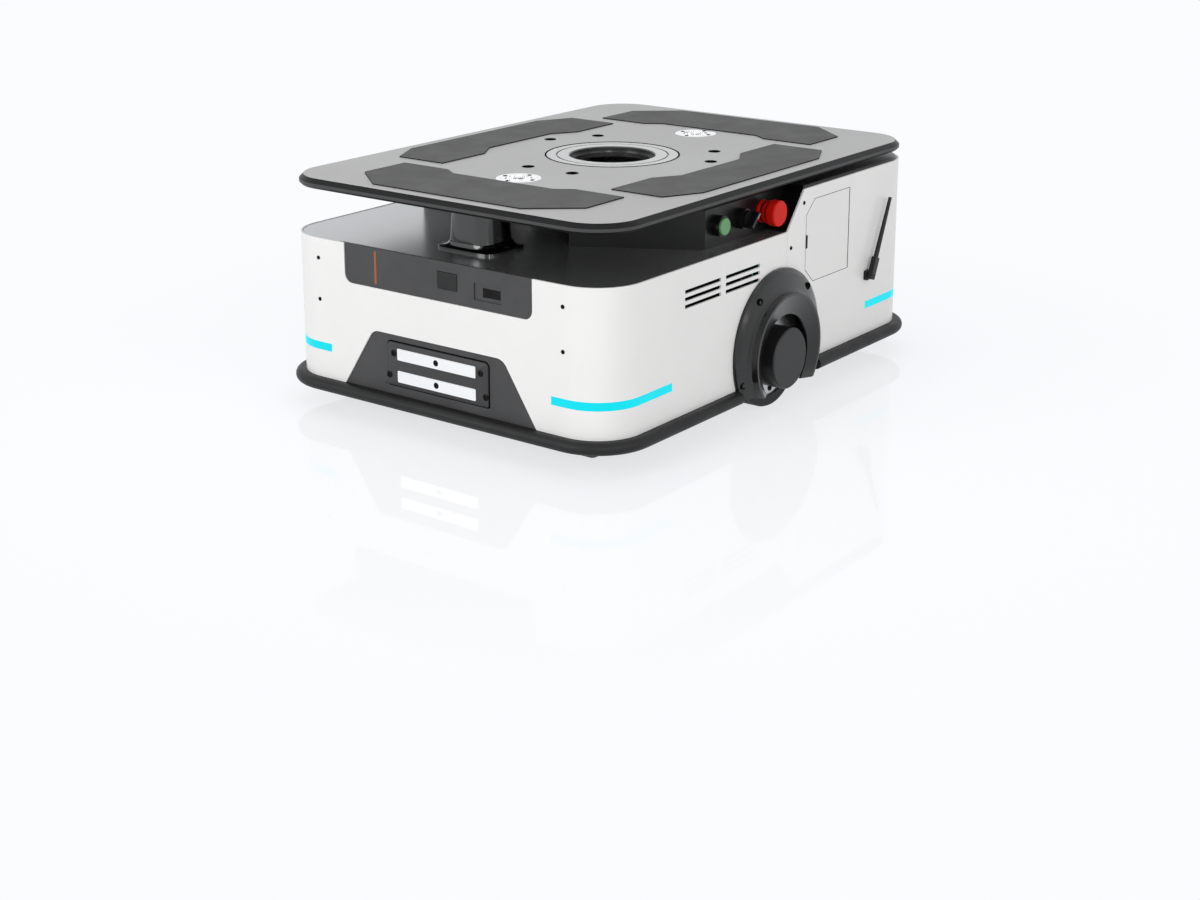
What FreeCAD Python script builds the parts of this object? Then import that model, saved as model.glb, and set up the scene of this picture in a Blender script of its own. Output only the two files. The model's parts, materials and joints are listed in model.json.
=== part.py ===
import FreeCAD, Part
import math
import os

# Autonomous mobile robot with a lifting platform.
# Millimetres. Origin on the floor below the middle of the platform,
# +X to the front with the scanner, +Y to the robot's left with the controls, +Z up.

V = FreeCAD.Vector

# ---------------------------------------------------------------- driving sizes
# Body shell
body_length = 916.0
body_width = 668.0
corner_radius = 78.0
skin_wall = 3.0
skin_foot = 56.0
arch_foot_rise = 12.0
front_drop = 63.0
rear_height = 353.0
front_height = rear_height - front_drop
seam_x = -29.0
step_run = 50.0
step_lap = 3.0
seam_gap = 0.6
panel_gap = 0.8
fit_gap = 0.3
run_gap = 0.05
touch = 0.01
overcut = 1.0
half_length = body_length / 2
half_width = body_width / 2

# Lifting platform
platform_gap = 15.5
platform_thickness = 16.5
platform_foot = rear_height + platform_gap
platform_top = platform_foot + platform_thickness
platform_top_chamfer = 7.5
platform_foot_chamfer = 4.0
lift_travel = 60.0
ring_radius = 113.5
ring_line_radius = 95.0
platform_hole_radius = 73.0
ring_ledge_radius = 66.0
ring_ledge_depth = 9.0
ring_neck_inset = 4.0
ring_edge_height = 0.5
ring_edge_width = 1.0
ring_bore_edge = 2.0
locating_relief = 2.0
groove_width = 3.0
groove_depth = 2.0
payload_circle_radius = 177.0
payload_hole_radius = 9.0
payload_pair_angle = 15.0
payload_groups = 3
locating_offset = 252.0
locating_radius = 37.5
locating_depth = 10.0
locating_bore_radius = 10.0
locating_screw_circle = 28.0
locating_screw_count = 4
locating_screw_depth = 3.0
locating_screw_radius = 3.2

# Rubber pads, as distances from the middle of the platform
pad_height = 2.0
pad_seat = 3.0
pad_seat_gap = 0.4
end_pad_inner = 274.0
end_pad_inset = 27.0
end_pad_outer = half_length - end_pad_inset
end_pad_half = half_width - 4 * end_pad_inset
end_pad_flat = 150.0
end_pad_shoulder_inset = 88.0
end_pad_shoulder = half_length - end_pad_shoulder_inset
end_pad_waist_half = 103.0
end_pad_waist_run = 28.0
end_pad_waist_depth = 19.0
side_pad_half = 238.0
side_pad_inner = 175.0
side_pad_inset = 30.5
side_pad_outer = half_width - side_pad_inset
side_pad_shoulder_inset = 63.0
side_pad_shoulder = half_width - side_pad_shoulder_inset
side_pad_flat = 173.0
side_pad_waist_half = 85.0
side_pad_waist_run = 45.0
side_pad_waist_depth = 27.0

# Base tray
tray_floor = 48.0
tray_plate = 6.0
tray_flange_height = 30.0
tray_flange_wall = 4.0
tray_rib_height = 60.0
tray_rib_wall = 8.0
tray_rib_x = 122.0
tray_rib_hole_radius = 20.0
tray_rib_hole_pitch = 80.0
tray_rib_hole_pairs = 3
tray_notch_margin = 3.2
tray_notch_depth = 12.0
drive_slot_gap = 6.0

# Drive wheels
wheel_radius = 87.5
tyre_width = 45.0
tyre_inset = 6.0
tyre_face_y = half_width - tyre_inset
tyre_wall = 19.5
tyre_round = 5.0
tread_groove = 3.0
tread_groove_count = 2
tyre_round_share = 0.3
rim_inset = 3.0
rim_web = 10.0
rim_boss_radius = 30.0
rim_wall = 6.0
axle_insertion = 50.0
hub_gap = 3.0
rim_hole_angle = 30.0
rim_hole_radius = 4.0
rim_hole_circle = 57.0
rim_hole_count = 6
axle_radius = 12.5
hub_cap_radius = 51.0
hub_cap_out = 29.0
hub_cap_face_y = half_width + hub_cap_out
hub_cap_wall = 3.0
hub_cap_edge = 2.0
hub_cap_foot = 1.5
gearbox_radius = 37.0
gearbox_inner_y = 150.0
gearbox_collar_lip = 3.0
gearbox_collar_inset = 20.0
gearbox_bore_depth = 60.0
gearbox_inset = 64.0
gearbox_outer_y = half_width - gearbox_inset
motor_radius = 35.0
motor_inner_y = 46.0
motor_plug_half = 12.0
motor_plug_inset = 12.0
motor_plug_length = 30.0
motor_plug_seat = 4.0
motor_plug_rise = 10.0
bracket_wall = 8.0
bracket_half = 62.0
bracket_height = 92.0
bracket_foot = 48.0
gusset_share = 0.7
drive_slot_half = 46.0

# Wheel covers
cover_flange_radius = 128.0
cover_flange_z = 107.0
cover_flange_wall = 3.0
cover_boss_radius = 98.0
cover_boss_z = 98.0
cover_out = 28.0
cover_face_y = half_width + cover_out
cover_wall = 3.0
cover_opening_radius = 72.0
cover_opening_z = 88.0
cover_dish_depth = 10.0
cover_rim_width = 4.0
cover_foot = 38.0
# Shares of the rise, of the inward step and of the drop at each section of the bell
cover_sections = ((0.0, 0.0, 0.0), (0.10, 0.03, 0.0), (0.26, 0.22, 0.2), (0.38, 0.52, 0.5),
                  (0.48, 0.80, 0.8), (0.58, 0.95, 0.95), (1.0, 1.0, 1.0))
arch_lap = 10.0

# Bumper
bumper_out = 18.0
bumper_height = 20.0
bumper_round = 9.9
bumper_tuck = 0.3
tray_gap = 1.0

# Casters
caster_inset_x = 108.0
caster_x = half_length - caster_inset_x
caster_inset_y = 94.0
caster_y = half_width - caster_inset_y
caster_trail = 25.0
caster_wheel_radius = 37.5
caster_wheel_width = 24.0
caster_wheel_round = 4.0
caster_axle_radius = 4.0
caster_leg_wall = 4.0
caster_leg_gap = 1.5
caster_leg_half = 13.0
caster_leg_back = 8.0
caster_leg_drop = 6.0
caster_leg_bend = 4.0
caster_leg_cut = 5.0
caster_leg_corner = 2.0
caster_crown_radius = 29.0
caster_crown_floor = 84.0
caster_crown_wall = 5.0
caster_pin_radius = 6.0
caster_nut_height = 4.0
caster_nut_lip = 5.0
caster_bolt_head = 4.0
caster_bolt_lip = 3.0
caster_hub_wall = 6.0
caster_plate_half = 40.0
caster_plate_wall = 5.0
caster_race_radius = 28.0
pod_radius = 76.0
pod_wall = 4.0
pod_top = 112.0
pod_plate = 6.0

# Front scanner
scanner_inset = 111.0
scanner_x = half_length - scanner_inset
scanner_radius = 47.0
scanner_clearance = 12.5
scanner_top = platform_foot - scanner_clearance
scanner_foot_radius = 46.0
scanner_foot_edge = 2.0
scanner_top_round = 6.0
scanner_waist_height = 12.0
scanner_foot_height = 8.0
scanner_waist_rise = 22.0
scanner_waist_z = front_height + scanner_waist_rise
scanner_neck = 4.0
scanner_plate_half_x = 48.0
scanner_plate_half_y = 58.0
scanner_plate_wall = 5.0
scanner_plate_corner = 12.0
scanner_spigot_radius = 34.0
scanner_spigot_drop = 30.0
scan_arc_radius = 138.8

# Deck and upper cover
deck_wall = 3.0
deck_drop = 5.0
deck_lap = 4.0
deck_notch_gap = 1.0
scanner_well_inset = 8.0
cover_rise = 4.0
cover_top = rear_height + cover_rise
cowl_wall = 3.0
cowl_edge = 4.0
cowl_nose_inset = 86.0
cowl_nose_x = scanner_x - cowl_nose_inset
cowl_nose_half = 109.0
cowl_shoulder_x = 154.0
cowl_side_inset = 39.0
cowl_shoulder_half = half_width - cowl_side_inset
cowl_rear_x = -150.0
camera_window_radius = 62.0
tube_clearance = 4.0
guide_clearance = 3.0
cover_cut = 10.0

# Front panels
front_panel_half = 192.0
front_panel_rise = 64.0
front_panel_foot = front_height - front_panel_rise
front_panel_corner = 15.0
panel_recess = 1.2
panel_wall = 3.0
panel_lap = 8.0
charge_panel_foot_half = 198.0
charge_panel_top_half = 134.0
charge_panel_top = 155.0
charge_panel_corner = 22.0
contact_plate_foot = 72.0
contact_plate_top = 143.0
contact_plate_foot_half = 114.0
contact_plate_top_half = 104.0
contact_plate_wall = 6.0
contact_plate_corner = 4.0
contact_plate_gap = 1.5
charge_panel_setback = 1.0
contact_plate_out = 3.0
contact_half = 81.0
contact_height = 19.0
contact_low_z = 88.5
contact_high_z = 125.0
contact_out = 1.5
contact_seat = 3.0
contact_seat_gap = 0.1
contact_corner = 2.0
contact_screw_radius = 3.5
contact_screw_depth = 2.0
status_y = -126.0
status_width = 4.0
status_depth = 2.0
status_out = 0.2
status_gap = 0.1
status_foot_drop = 58.0
status_foot = front_height - status_foot_drop
status_top_drop = 5.0
status_top = front_height - status_top_drop
flap_y = 24.5
flap_drop = 30.0
flap_z = front_height - flap_drop
flap_width = 40.0
flap_height = 27.0
flap_wall = 4.0
flap_out = 0.8
flap_grip_radius = 8.0
flap_grip_depth = 0.8
flap_grip_drop = 4.0
flap_pin_radius = 0.6
flap_pin_length = 4.0
pin_end_gap = 0.5
flap_pocket_gap = 0.6
flap_corner = 3.0
socket_radius = 9.0
socket_pin_radius = 1.25
socket_pin_circle = 4.5
socket_pin_length = 14.0
socket_depth = 20.0
socket_wall = 3.0
socket_flange_lap = 5.0
switch_y = 105.0
switch_drop = 37.0
switch_z = front_height - switch_drop
switch_width = 54.0
switch_height = 27.0
switch_well = 2.0
rocker_y = 112.0
rocker_width = 34.0
rocker_height = 14.0
rocker_depth = 9.0
rocker_tilt = 8.0
rocker_shroud_wall = 2.0
rocker_body_depth = 5.0
rocker_taper = 1.6
rocker_crest = 0.6
rocker_dip = 0.8
rocker_pivot_depth = 3.0

# Corner lights
light_foot = 102.0
light_height = 13.5
light_front_inset = 107.0
light_front_y = half_width - light_front_inset
light_side_inset = 162.0
light_side_x = half_length - light_side_inset
light_gap = 0.2

# Vents, as rows and groups of long slots
vent_length = 99.0
vent_height = 6.0
vent_pitch = 11.8
vent_rows = 3
vent_drop = 36.0
vent_top_z = front_height - vent_drop
vent_inset = 243.5
vent_first_x = half_length - vent_inset
vent_group_pitch = 112.5
vent_groups = 2

# Access door
door_front_x = -88.0
door_rear_x = -229.0
door_foot = 191.0
door_drop = 22.0
door_top = rear_height - door_drop
door_chamfer_run = 26.0
door_chamfer_rise = 24.0
door_pin_radius = 0.9
door_pin_length = 6.0
door_latch_rise = 71.0
door_latch_z = door_foot + door_latch_rise
door_latch_height = 24.0
door_latch_width = 4.0
door_latch_depth = 1.5
bay_depth = 31.0
bay_wall = 2.5
bay_margin = 5.0
breaker_inset = 24.0
breaker_width = 36.0
breaker_depth = 12.0
breaker_foot = 78.0
breaker_drop = 16.0
lever_width = 16.0
lever_height = 12.0
lever_rise = 18.0
lever_depth = 6.0
outlet_x = 34.0
outlet_low_z = 34.0
outlet_drop = 38.0
outlet_radius = 13.0
outlet_bore_radius = 9.0
outlet_height = 9.0
outlet_depth = 6.0

# Controls
control_drop = 34.0
control_z = cover_top - control_drop
estop_x = -13.0
selector_x = 53.0
start_x = 119.0
barrel_radius = 11.0
barrel_length = 45.0
bezel_radius = 17.0
bezel_height = 12.0
start_radius = 14.0
start_floor = 0.6
start_travel = 4.0
start_out = 4.0
start_floor_gap = 0.4
start_edge = 1.0
selector_disc_radius = 14.5
selector_disc_height = 5.0
selector_handle_width = 8.0
selector_handle_length = 29.0
selector_handle_height = 14.0
selector_turn = -45.0
selector_shaft_radius = 5.0
selector_shaft_depth = 8.0
selector_bore_depth = 10.0
selector_handle_taper = 1.2
selector_handle_round = 1.5
estop_collar_radius = 18.0
estop_collar_height = 10.0
estop_neck_radius = 9.0
estop_spigot_radius = 6.0
estop_head_radius = 21.5
estop_head_height = 15.0
estop_out = 35.0
estop_edge = 3.0
estop_bore_depth = 12.0
estop_stem_depth = 6.0

# Antenna
antenna_inset = 162.0
antenna_x = antenna_inset - half_length
antenna_z = 164.0
antenna_lean = 24.0
antenna_length = 142.0
antenna_rod_foot_radius = 4.3
antenna_rod_tip_radius = 3.0
antenna_corner = 3.0
antenna_tip_corner = 2.0
antenna_pin_out = 1.0
antenna_grip_length = 40.0
antenna_grip_width = 13.0
antenna_grip_depth = 9.0
antenna_base_out = 6.0
antenna_base_size = 17.0
antenna_pin_radius = 3.0

# Lift drive
frame_front_x = 160.0
frame_rear_x = -235.0
frame_half = 205.0
frame_leg = 30.0
frame_plate = 8.0
frame_storey = 144.0
frame_drop = 25.0
frame_high_z = cover_top - frame_drop
frame_low_z = frame_high_z - frame_storey
lift_x = -45.0
screw_y = 130.0
guide_run = 130.0
guide_y = 165.0
screw_radius = 10.0
screw_journal_radius = 8.0
screw_foot_drop = 6.0
screw_collar_lip = 3.0
screw_tip_edge = 1.5
screw_top_gap = 18.5
screw_bearing_radius = 16.0
tube_radius = 30.0
tube_bore_radius = 24.0
tube_foot_rise = 38.0
tube_foot = frame_low_z + tube_foot_rise
nut_height = 20.0
tube_flange_radius = 45.0
column_flange = 8.0
tube_bush_radius = 36.0
tube_bush_flange = 44.0
guide_radius = 12.5
guide_bush_radius = 20.0
guide_bush_flange = 26.0
guide_flange_radius = 25.0
guide_foot_drop = 68.0
guide_foot = frame_low_z - guide_foot_drop
bush_flange_wall = 4.0
bush_length = 22.0
pulley_radius = 24.0
pulley_flange_radius = 27.2
pulley_flange_wall = 1.5
pulley_gap = 11.0
pulley_floor = frame_low_z + pulley_gap
pulley_width = 18.0
belt_wall = 2.2
belt_width = 14.0
lift_motor_x = 25.0
lift_motor_radius = 33.0
lift_motor_length = 82.0
lift_motor_flange_half = 38.0
lift_motor_flange_wall = 8.0
lift_shaft_radius = 7.0
lift_shaft_drop = 14.0
lift_shaft_bore_depth = 18.0
lift_shaft_hole_radius = 12.0

# Camera under the platform
camera_radius = 50.0
camera_height = 22.0
camera_lens_radius = 16.0
camera_rim = 6.0
camera_well_depth = 6.0
camera_lens_height = 5.0

# Battery and controller
battery_inset = 28.0
battery_gap = 25.0
battery_rear_x = battery_inset - half_length
battery_length = frame_rear_x - battery_gap - battery_rear_x
battery_half = 140.0
battery_height = 170.0
battery_edge = 8.0
battery_handle_half = 50.0
battery_handle_rise = 22.0
battery_handle_bar = 10.0
controller_inset = 73.0
controller_length = 170.0
controller_x = half_length - controller_inset - controller_length
controller_half = 130.0
controller_height = 110.0
controller_fin_count = 8
controller_fin_height = 14.0
controller_fin_wall = 6.0
controller_fin_inset = 10.0

# ---------------------------------------------------------------- worked-out sizes
inner_length = half_length - skin_wall
inner_width = half_width - skin_wall
deck_top = front_height - deck_drop
deck_foot = deck_top - deck_wall
tray_top = tray_floor + tray_plate
step_x = seam_x - step_run
arch_radius = cover_flange_radius - arch_lap
bumper_foot = skin_foot - bumper_height
bumper_end_x = cover_flange_radius - arch_lap + panel_gap
column_flange_foot = platform_foot - column_flange
guide_xs = (lift_x - guide_run, lift_x + guide_run)
wall_y = cowl_shoulder_half
reach = 2 * body_length


# ---------------------------------------------------------------- helpers
def box(x0, x1, y0, y1, z0, z1):
    """A block between two corners."""
    return Part.makeBox(x1 - x0, y1 - y0, z1 - z0, V(x0, y0, z0))


def rod(radius, length, x, y, z, axis=V(0, 0, 1)):
    """A cylinder from a base point along an axis."""
    return Part.makeCylinder(radius, length, V(x, y, z), axis)


def rod_y(radius, y0, y1, x, z):
    """A cylinder along Y between two stations."""
    low, high = min(y0, y1), max(y0, y1)
    return rod(radius, high - low, x, low, z, V(0, 1, 0))


def place(u, v, plane):
    """A sketch point in one of the three main planes."""
    if plane == "xy":
        return V(u, v, 0)
    if plane == "xz":
        return V(u, 0, v)
    return V(0, u, v)


def sketch(points, plane="xy", radius=0.0):
    """A face from a polygon. radius rounds every corner, or lists one radius each."""
    corners = [place(u, v, plane) for u, v in points]
    count = len(corners)
    radii = radius if isinstance(radius, (list, tuple)) else [radius] * count
    ends = []
    for i, corner in enumerate(corners):
        back = (corners[i - 1] - corner).normalize()
        ahead = (corners[(i + 1) % count] - corner).normalize()
        turn = back.getAngle(ahead) / 2
        if radii[i] <= 0:
            ends.append((corner, None, corner))
            continue
        run = radii[i] / math.tan(turn)
        middle = (back + ahead).normalize() * (radii[i] / math.sin(turn) - radii[i])
        ends.append((corner + back * run, corner + middle, corner + ahead * run))
    edges = []
    for i, (start, middle, end) in enumerate(ends):
        if middle is not None:
            edges.append(Part.Arc(start, middle, end).toShape())
        after = ends[(i + 1) % count][0]
        if end.distanceToPoint(after) > 1e-6:
            edges.append(Part.LineSegment(end, after).toShape())
    return Part.Face(Part.Wire(edges))


def slab(face, low, high, plane="xy"):
    """A sketch face pushed along its normal between two stations."""
    direction = {"xy": V(0, 0, 1), "xz": V(0, 1, 0), "yz": V(1, 0, 0)}[plane]
    solid = face.extrude(direction * (high - low))
    solid.translate(direction * low)
    return solid


def outline(inset, low, high):
    """The body's rounded plan outline, inset on all sides, as a solid."""
    length, width = half_length - inset, half_width - inset
    points = [(-length, -width), (length, -width), (length, width), (-length, width)]
    return slab(sketch(points, "xy", corner_radius - inset), low, high)


def ring(outer_inset, inner_inset, low, high):
    """A band of the plan outline."""
    return outline(outer_inset, low, high).cut(outline(inner_inset, low - overcut,
                                                     high + overcut))


def mirror_y(shape):
    """The same piece on the robot's right."""
    return shape.mirror(V(0, 0, 0), V(0, 1, 0))


def mirror_x(shape):
    """The same piece at the other end."""
    return shape.mirror(V(0, 0, 0), V(1, 0, 0))


def both_sides(shape):
    """A piece and its mirror image across the middle."""
    return [shape, mirror_y(shape)]


def four_corners(shape):
    """A piece copied to all four quarters."""
    return both_sides(shape) + [mirror_x(s) for s in both_sides(shape)]


def edges_at(shape, test):
    """The edges whose whole length passes the test on their end and middle points."""
    kept = []
    for edge in shape.Edges:
        low, high = edge.ParameterRange
        stations = [edge.valueAt(low), edge.valueAt((low + high) / 2), edge.valueAt(high)]
        if all(test(point) for point in stations):
            kept.append(edge)
    return kept


def save(name, *shapes):
    """Writes one node: one solid, or a group of separate ones."""
    solids = []
    for shape in shapes:
        solids.extend(shape.removeSplitter().Solids)
    result = solids[0] if len(solids) == 1 else Part.makeCompound(solids)
    result.exportStep("parts/" + name + ".step")


# ---------------------------------------------------------------- outlines that several pieces share
def front_panel_face(grow):
    """The upper front panel's outline, open at the top edge of the shell."""
    half, foot = front_panel_half + grow, front_panel_foot - grow
    points = [(-half, foot), (half, foot), (half, front_height), (-half, front_height)]
    corner = front_panel_corner + grow
    return sketch(points, "yz", [corner, corner, 0, 0])


def charge_panel_face(grow):
    """The lower front panel's outline, a trapezoid that stands on the bumper."""
    slope = (charge_panel_foot_half - charge_panel_top_half) / (charge_panel_top - skin_foot)
    side = grow * math.sqrt(1 + slope * slope)
    top = charge_panel_top + grow
    foot_half = charge_panel_foot_half + side
    top_half = foot_half - slope * (top - skin_foot)
    points = [(-foot_half, skin_foot), (foot_half, skin_foot), (top_half, top), (-top_half, top)]
    corner = charge_panel_corner + grow
    return sketch(points, "yz", [0, 0, corner, corner])


def contact_plate_face(grow):
    """The outline of the plate that carries the charging contacts."""
    foot_half = contact_plate_foot_half + grow
    top_half = contact_plate_top_half + grow
    foot, top = contact_plate_foot - grow, contact_plate_top + grow
    points = [(-foot_half, foot), (foot_half, foot), (top_half, top), (-top_half, top)]
    return sketch(points, "yz", contact_plate_corner + grow)


def door_face(grow):
    """The access door's outline: both front corners are cut off."""
    front, rear = door_front_x + grow, door_rear_x - grow
    foot, top = door_foot - grow, door_top + grow
    points = [
        (rear, foot),
        (front - door_chamfer_run, foot),
        (front, foot + door_chamfer_rise),
        (front, top - door_chamfer_rise),
        (front - door_chamfer_run, top),
        (rear, top),
    ]
    return sketch(points, "xz")


def cowl_block(inset, low, high, chamfer=0.0):
    """The middle block: control walls, diagonal walls and a round bay behind the scanner."""
    lean = math.atan2(cowl_nose_x - cowl_shoulder_x, cowl_shoulder_half - cowl_nose_half)
    half = cowl_shoulder_half - inset
    shoulder = cowl_shoulder_x + inset * math.tan(lean) - inset / math.cos(lean)
    tip_half = cowl_nose_half / 2
    tip = shoulder + (half - tip_half) * math.tan(lean)
    points = [
        (cowl_rear_x, -half),
        (shoulder, -half),
        (tip, -tip_half),
        (tip, tip_half),
        (shoulder, half),
        (cowl_rear_x, half),
    ]
    block = slab(sketch(points), low, high)
    radius = scan_arc_radius + inset
    bay = rod(radius, high - low, scanner_x, 0, low)
    if chamfer > 0:
        block = block.makeChamfer(chamfer, edges_at(block, lambda p: abs(p.z - high) < touch))
        rim = Part.makeCone(radius, radius + chamfer, chamfer, V(scanner_x, 0, high - chamfer))
        bay = bay.fuse(rim)
    return block.cut(bay)


def step_face(inset, low, high):
    """Everything behind the slanted step, seen from the side."""
    slope = step_run / (rear_height - front_height)
    shift = inset * math.sqrt(1 + slope * slope)
    foot = seam_x - shift - (low - front_height) * slope
    top = seam_x - shift - (high - front_height) * slope
    points = [(-reach, low), (foot, low), (top, high), (-reach, high)]
    return slab(sketch(points, "xz"), -half_width, half_width, "xz")


def light_boxes(gap):
    """The stretches of the shell that hold the four corner lights."""
    corner = box(light_side_x + gap, half_length, light_front_y + gap, half_width,
                 light_foot + gap, light_foot + light_height - gap)
    return four_corners(corner)


# ---------------------------------------------------------------- shell
def make_front_skin():
    """Wrap-round front shell with panel openings, vents, light slots and wheel arches."""
    skin = ring(0, skin_wall, skin_foot, front_height)
    skin = skin.common(box(seam_x + seam_gap / 2, half_length, -half_width, half_width,
                           skin_foot, front_height))
    skin = skin.cut(rod_y(arch_radius, -half_width, half_width, 0, cover_flange_z))
    skin = skin.cut(box(-bumper_end_x, bumper_end_x, -half_width, half_width,
                        skin_foot, skin_foot + arch_foot_rise))
    for face in (front_panel_face(panel_gap / 2), charge_panel_face(panel_gap / 2)):
        skin = skin.cut(slab(face, inner_length - overcut, half_length + overcut, "yz"))
    for group in range(vent_groups):
        middle = vent_first_x - group * vent_group_pitch
        for row in range(vent_rows):
            top = vent_top_z - row * vent_pitch
            slot = box(middle - vent_length / 2, middle + vent_length / 2,
                       inner_width - overcut, half_width + overcut, top - vent_height, top)
            skin = skin.cut(Part.makeCompound(both_sides(slot)))
    return skin.cut(Part.makeCompound(light_boxes(0)))


def make_rear_skin():
    """Taller rear shell with the slanted step, the door opening and light slots."""
    skin = ring(0, skin_wall, skin_foot, rear_height)
    behind = step_face(seam_gap / 2, front_height, rear_height)
    below = box(-half_length, seam_x - seam_gap / 2, -half_width, half_width,
                skin_foot, front_height)
    skin = skin.common(behind.fuse(below))
    skin = skin.cut(rod_y(arch_radius, -half_width, half_width, 0, cover_flange_z))
    skin = skin.cut(box(-bumper_end_x, bumper_end_x, -half_width, half_width,
                        skin_foot, skin_foot + arch_foot_rise))
    skin = skin.cut(slab(door_face(panel_gap), inner_width - overcut, half_width + overcut, "xz"))
    pin_x = door_rear_x + skin_wall / 2
    skin = skin.cut(rod(door_pin_radius + run_gap,
                        door_top - door_foot + 2 * (panel_gap + door_pin_length),
                        pin_x, half_width - skin_wall / 2,
                        door_foot - panel_gap - door_pin_length))
    return skin.cut(Part.makeCompound(light_boxes(0)))


def make_corner_lights():
    """Four light strips that lie flush in the shell and wrap its corners."""
    band = ring(0, skin_wall, light_foot, light_foot + light_height)
    return [band.common(corner) for corner in light_boxes(light_gap)]


def make_bumpers():
    """Two rubber bumpers that wrap the ends and stop at the wheel covers."""
    band = ring(-bumper_out, skin_wall + tray_gap - bumper_tuck, bumper_foot, skin_foot)
    front = band.common(box(bumper_end_x, reach, -reach, reach, bumper_foot, skin_foot))
    limit = half_width + bumper_out - overcut
    end = half_length + bumper_out - overcut

    def on_outside(point):
        """True on the outer wall, straight or round."""
        dx = max(abs(point.x) - (half_length - corner_radius), 0)
        dy = max(abs(point.y) - (half_width - corner_radius), 0)
        far = math.hypot(dx, dy) > corner_radius + bumper_out - overcut
        straight = abs(point.y) > limit or abs(point.x) > end
        level = abs(point.z - bumper_foot) < touch or abs(point.z - skin_foot) < touch
        return level and (far or straight)

    front = front.makeFillet(bumper_round, edges_at(front, on_outside))
    return front, mirror_x(front)


def make_wheel_cover():
    """Moulded bell over the drive wheel: a thin flange, a raised horseshoe and a dished face."""
    flange_y = half_width + fit_gap / 2

    def section(y, z, radius):
        """One round section of the bell."""
        return Part.Wire(Part.makeCircle(radius, V(0, y, z), V(0, 1, 0)))

    lip = flange_y + cover_flange_wall
    rise = cover_face_y - lip
    shoulder = cover_flange_radius - cover_boss_radius
    drop = cover_flange_z - cover_boss_z
    outer = [section(flange_y, cover_flange_z, cover_flange_radius)]
    inner = [section(flange_y - overcut, cover_flange_z, arch_radius - fit_gap)]
    for up, inward, down in cover_sections:
        y = lip + rise * up
        z = cover_flange_z - drop * down
        radius = cover_flange_radius - shoulder * inward
        outer.append(section(y, z, radius))
        if 0 < up < 1:
            inside = min(radius - cover_wall, arch_radius - fit_gap - up)
            inner.append(section(y - cover_wall, z, inside))
    floor_y = cover_face_y - cover_dish_depth - cover_wall
    inner.append(section(floor_y, cover_boss_z, cover_boss_radius - cover_wall))
    bell = Part.makeLoft(outer, True, True)
    hollow = Part.makeLoft(inner, True, True)
    dish_rim = section(cover_face_y + touch, cover_boss_z, cover_boss_radius - cover_rim_width)
    dish_foot = section(cover_face_y - cover_dish_depth, cover_opening_z, cover_opening_radius)
    dish = Part.makeLoft([dish_foot, dish_rim], True, True)
    opening = rod_y(cover_opening_radius, floor_y - overcut, cover_face_y, 0, cover_opening_z)
    bell = bell.cut(hollow).cut(dish).cut(opening)
    keep = box(-reach, reach, 0, reach, cover_foot, reach)
    return bell.common(keep)


# ---------------------------------------------------------------- front panels
def make_front_panel():
    """Upper black panel: a plate in the opening and a lap behind the shell."""
    face_x = half_length - panel_recess
    plate = slab(front_panel_face(-panel_gap / 2), inner_length - fit_gap, face_x, "yz")
    lap = slab(front_panel_face(panel_lap), inner_length - fit_gap - panel_wall,
               inner_length - fit_gap, "yz")
    panel = plate.fuse(lap)
    back = inner_length - fit_gap - panel_wall
    socket_x = face_x - flap_wall + flap_out - flap_pocket_gap
    panel = panel.cut(slab(flap_face(flap_pocket_gap), -reach, reach, "yz"))
    panel = panel.cut(flap_pin(flap_pin_radius + run_gap, flap_pin_length + pin_end_gap))
    switch = box(face_x - switch_well, reach, switch_y - switch_width / 2,
                 switch_y + switch_width / 2, switch_z - switch_height / 2,
                 switch_z + switch_height / 2)
    panel = panel.cut(switch)
    slot = box(back - overcut, reach, rocker_y - rocker_width / 2 - fit_gap,
               rocker_y + rocker_width / 2 + fit_gap, switch_z - rocker_height / 2 - fit_gap,
               switch_z + rocker_height / 2 + fit_gap)
    shroud = box(back - rocker_depth, back, rocker_y - rocker_width / 2 - rocker_shroud_wall,
                 rocker_y + rocker_width / 2 + rocker_shroud_wall,
                 switch_z - rocker_height / 2 - rocker_shroud_wall,
                 switch_z + rocker_height / 2 + rocker_shroud_wall)
    slot_deep = slot.fuse(box(back - rocker_depth + rocker_shroud_wall, back + overcut,
                              rocker_y - rocker_width / 2 - fit_gap,
                              rocker_y + rocker_width / 2 + fit_gap,
                              switch_z - rocker_height / 2 - fit_gap,
                              switch_z + rocker_height / 2 + fit_gap))
    panel = panel.fuse(shroud).cut(slot_deep)
    strip = box(face_x - status_depth, reach, status_y - status_width / 2, status_y + status_width / 2,
                status_foot, status_top)
    return panel.cut(strip)


def make_charging_socket():
    """Manual charging socket: a floor in the cover's pocket, a flange behind it and a cup."""
    back = inner_length - fit_gap - panel_wall
    floor_x = half_length - panel_recess - flap_wall + flap_out - flap_pocket_gap
    floor = slab(flap_face(flap_pocket_gap), back, floor_x, "yz")
    flange = slab(flap_face(socket_flange_lap), back - socket_wall, back, "yz")
    axis = V(1, 0, 0)
    cup_x = floor_x - socket_depth - socket_wall
    cup = rod(socket_radius + socket_wall, back - cup_x, cup_x, flap_y, flap_z, axis)
    well = rod(socket_radius, reach, floor_x - socket_depth, flap_y, flap_z, axis)
    socket = floor.fuse(flange).fuse(cup).cut(well)
    for angle in range(0, 360, 120):
        turn = math.radians(angle + 90)
        y = flap_y + socket_pin_circle * math.cos(turn)
        z = flap_z + socket_pin_circle * math.sin(turn)
        socket = socket.fuse(rod(socket_pin_radius, socket_pin_length,
                                 floor_x - socket_depth, y, z, axis))
    return socket


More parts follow.
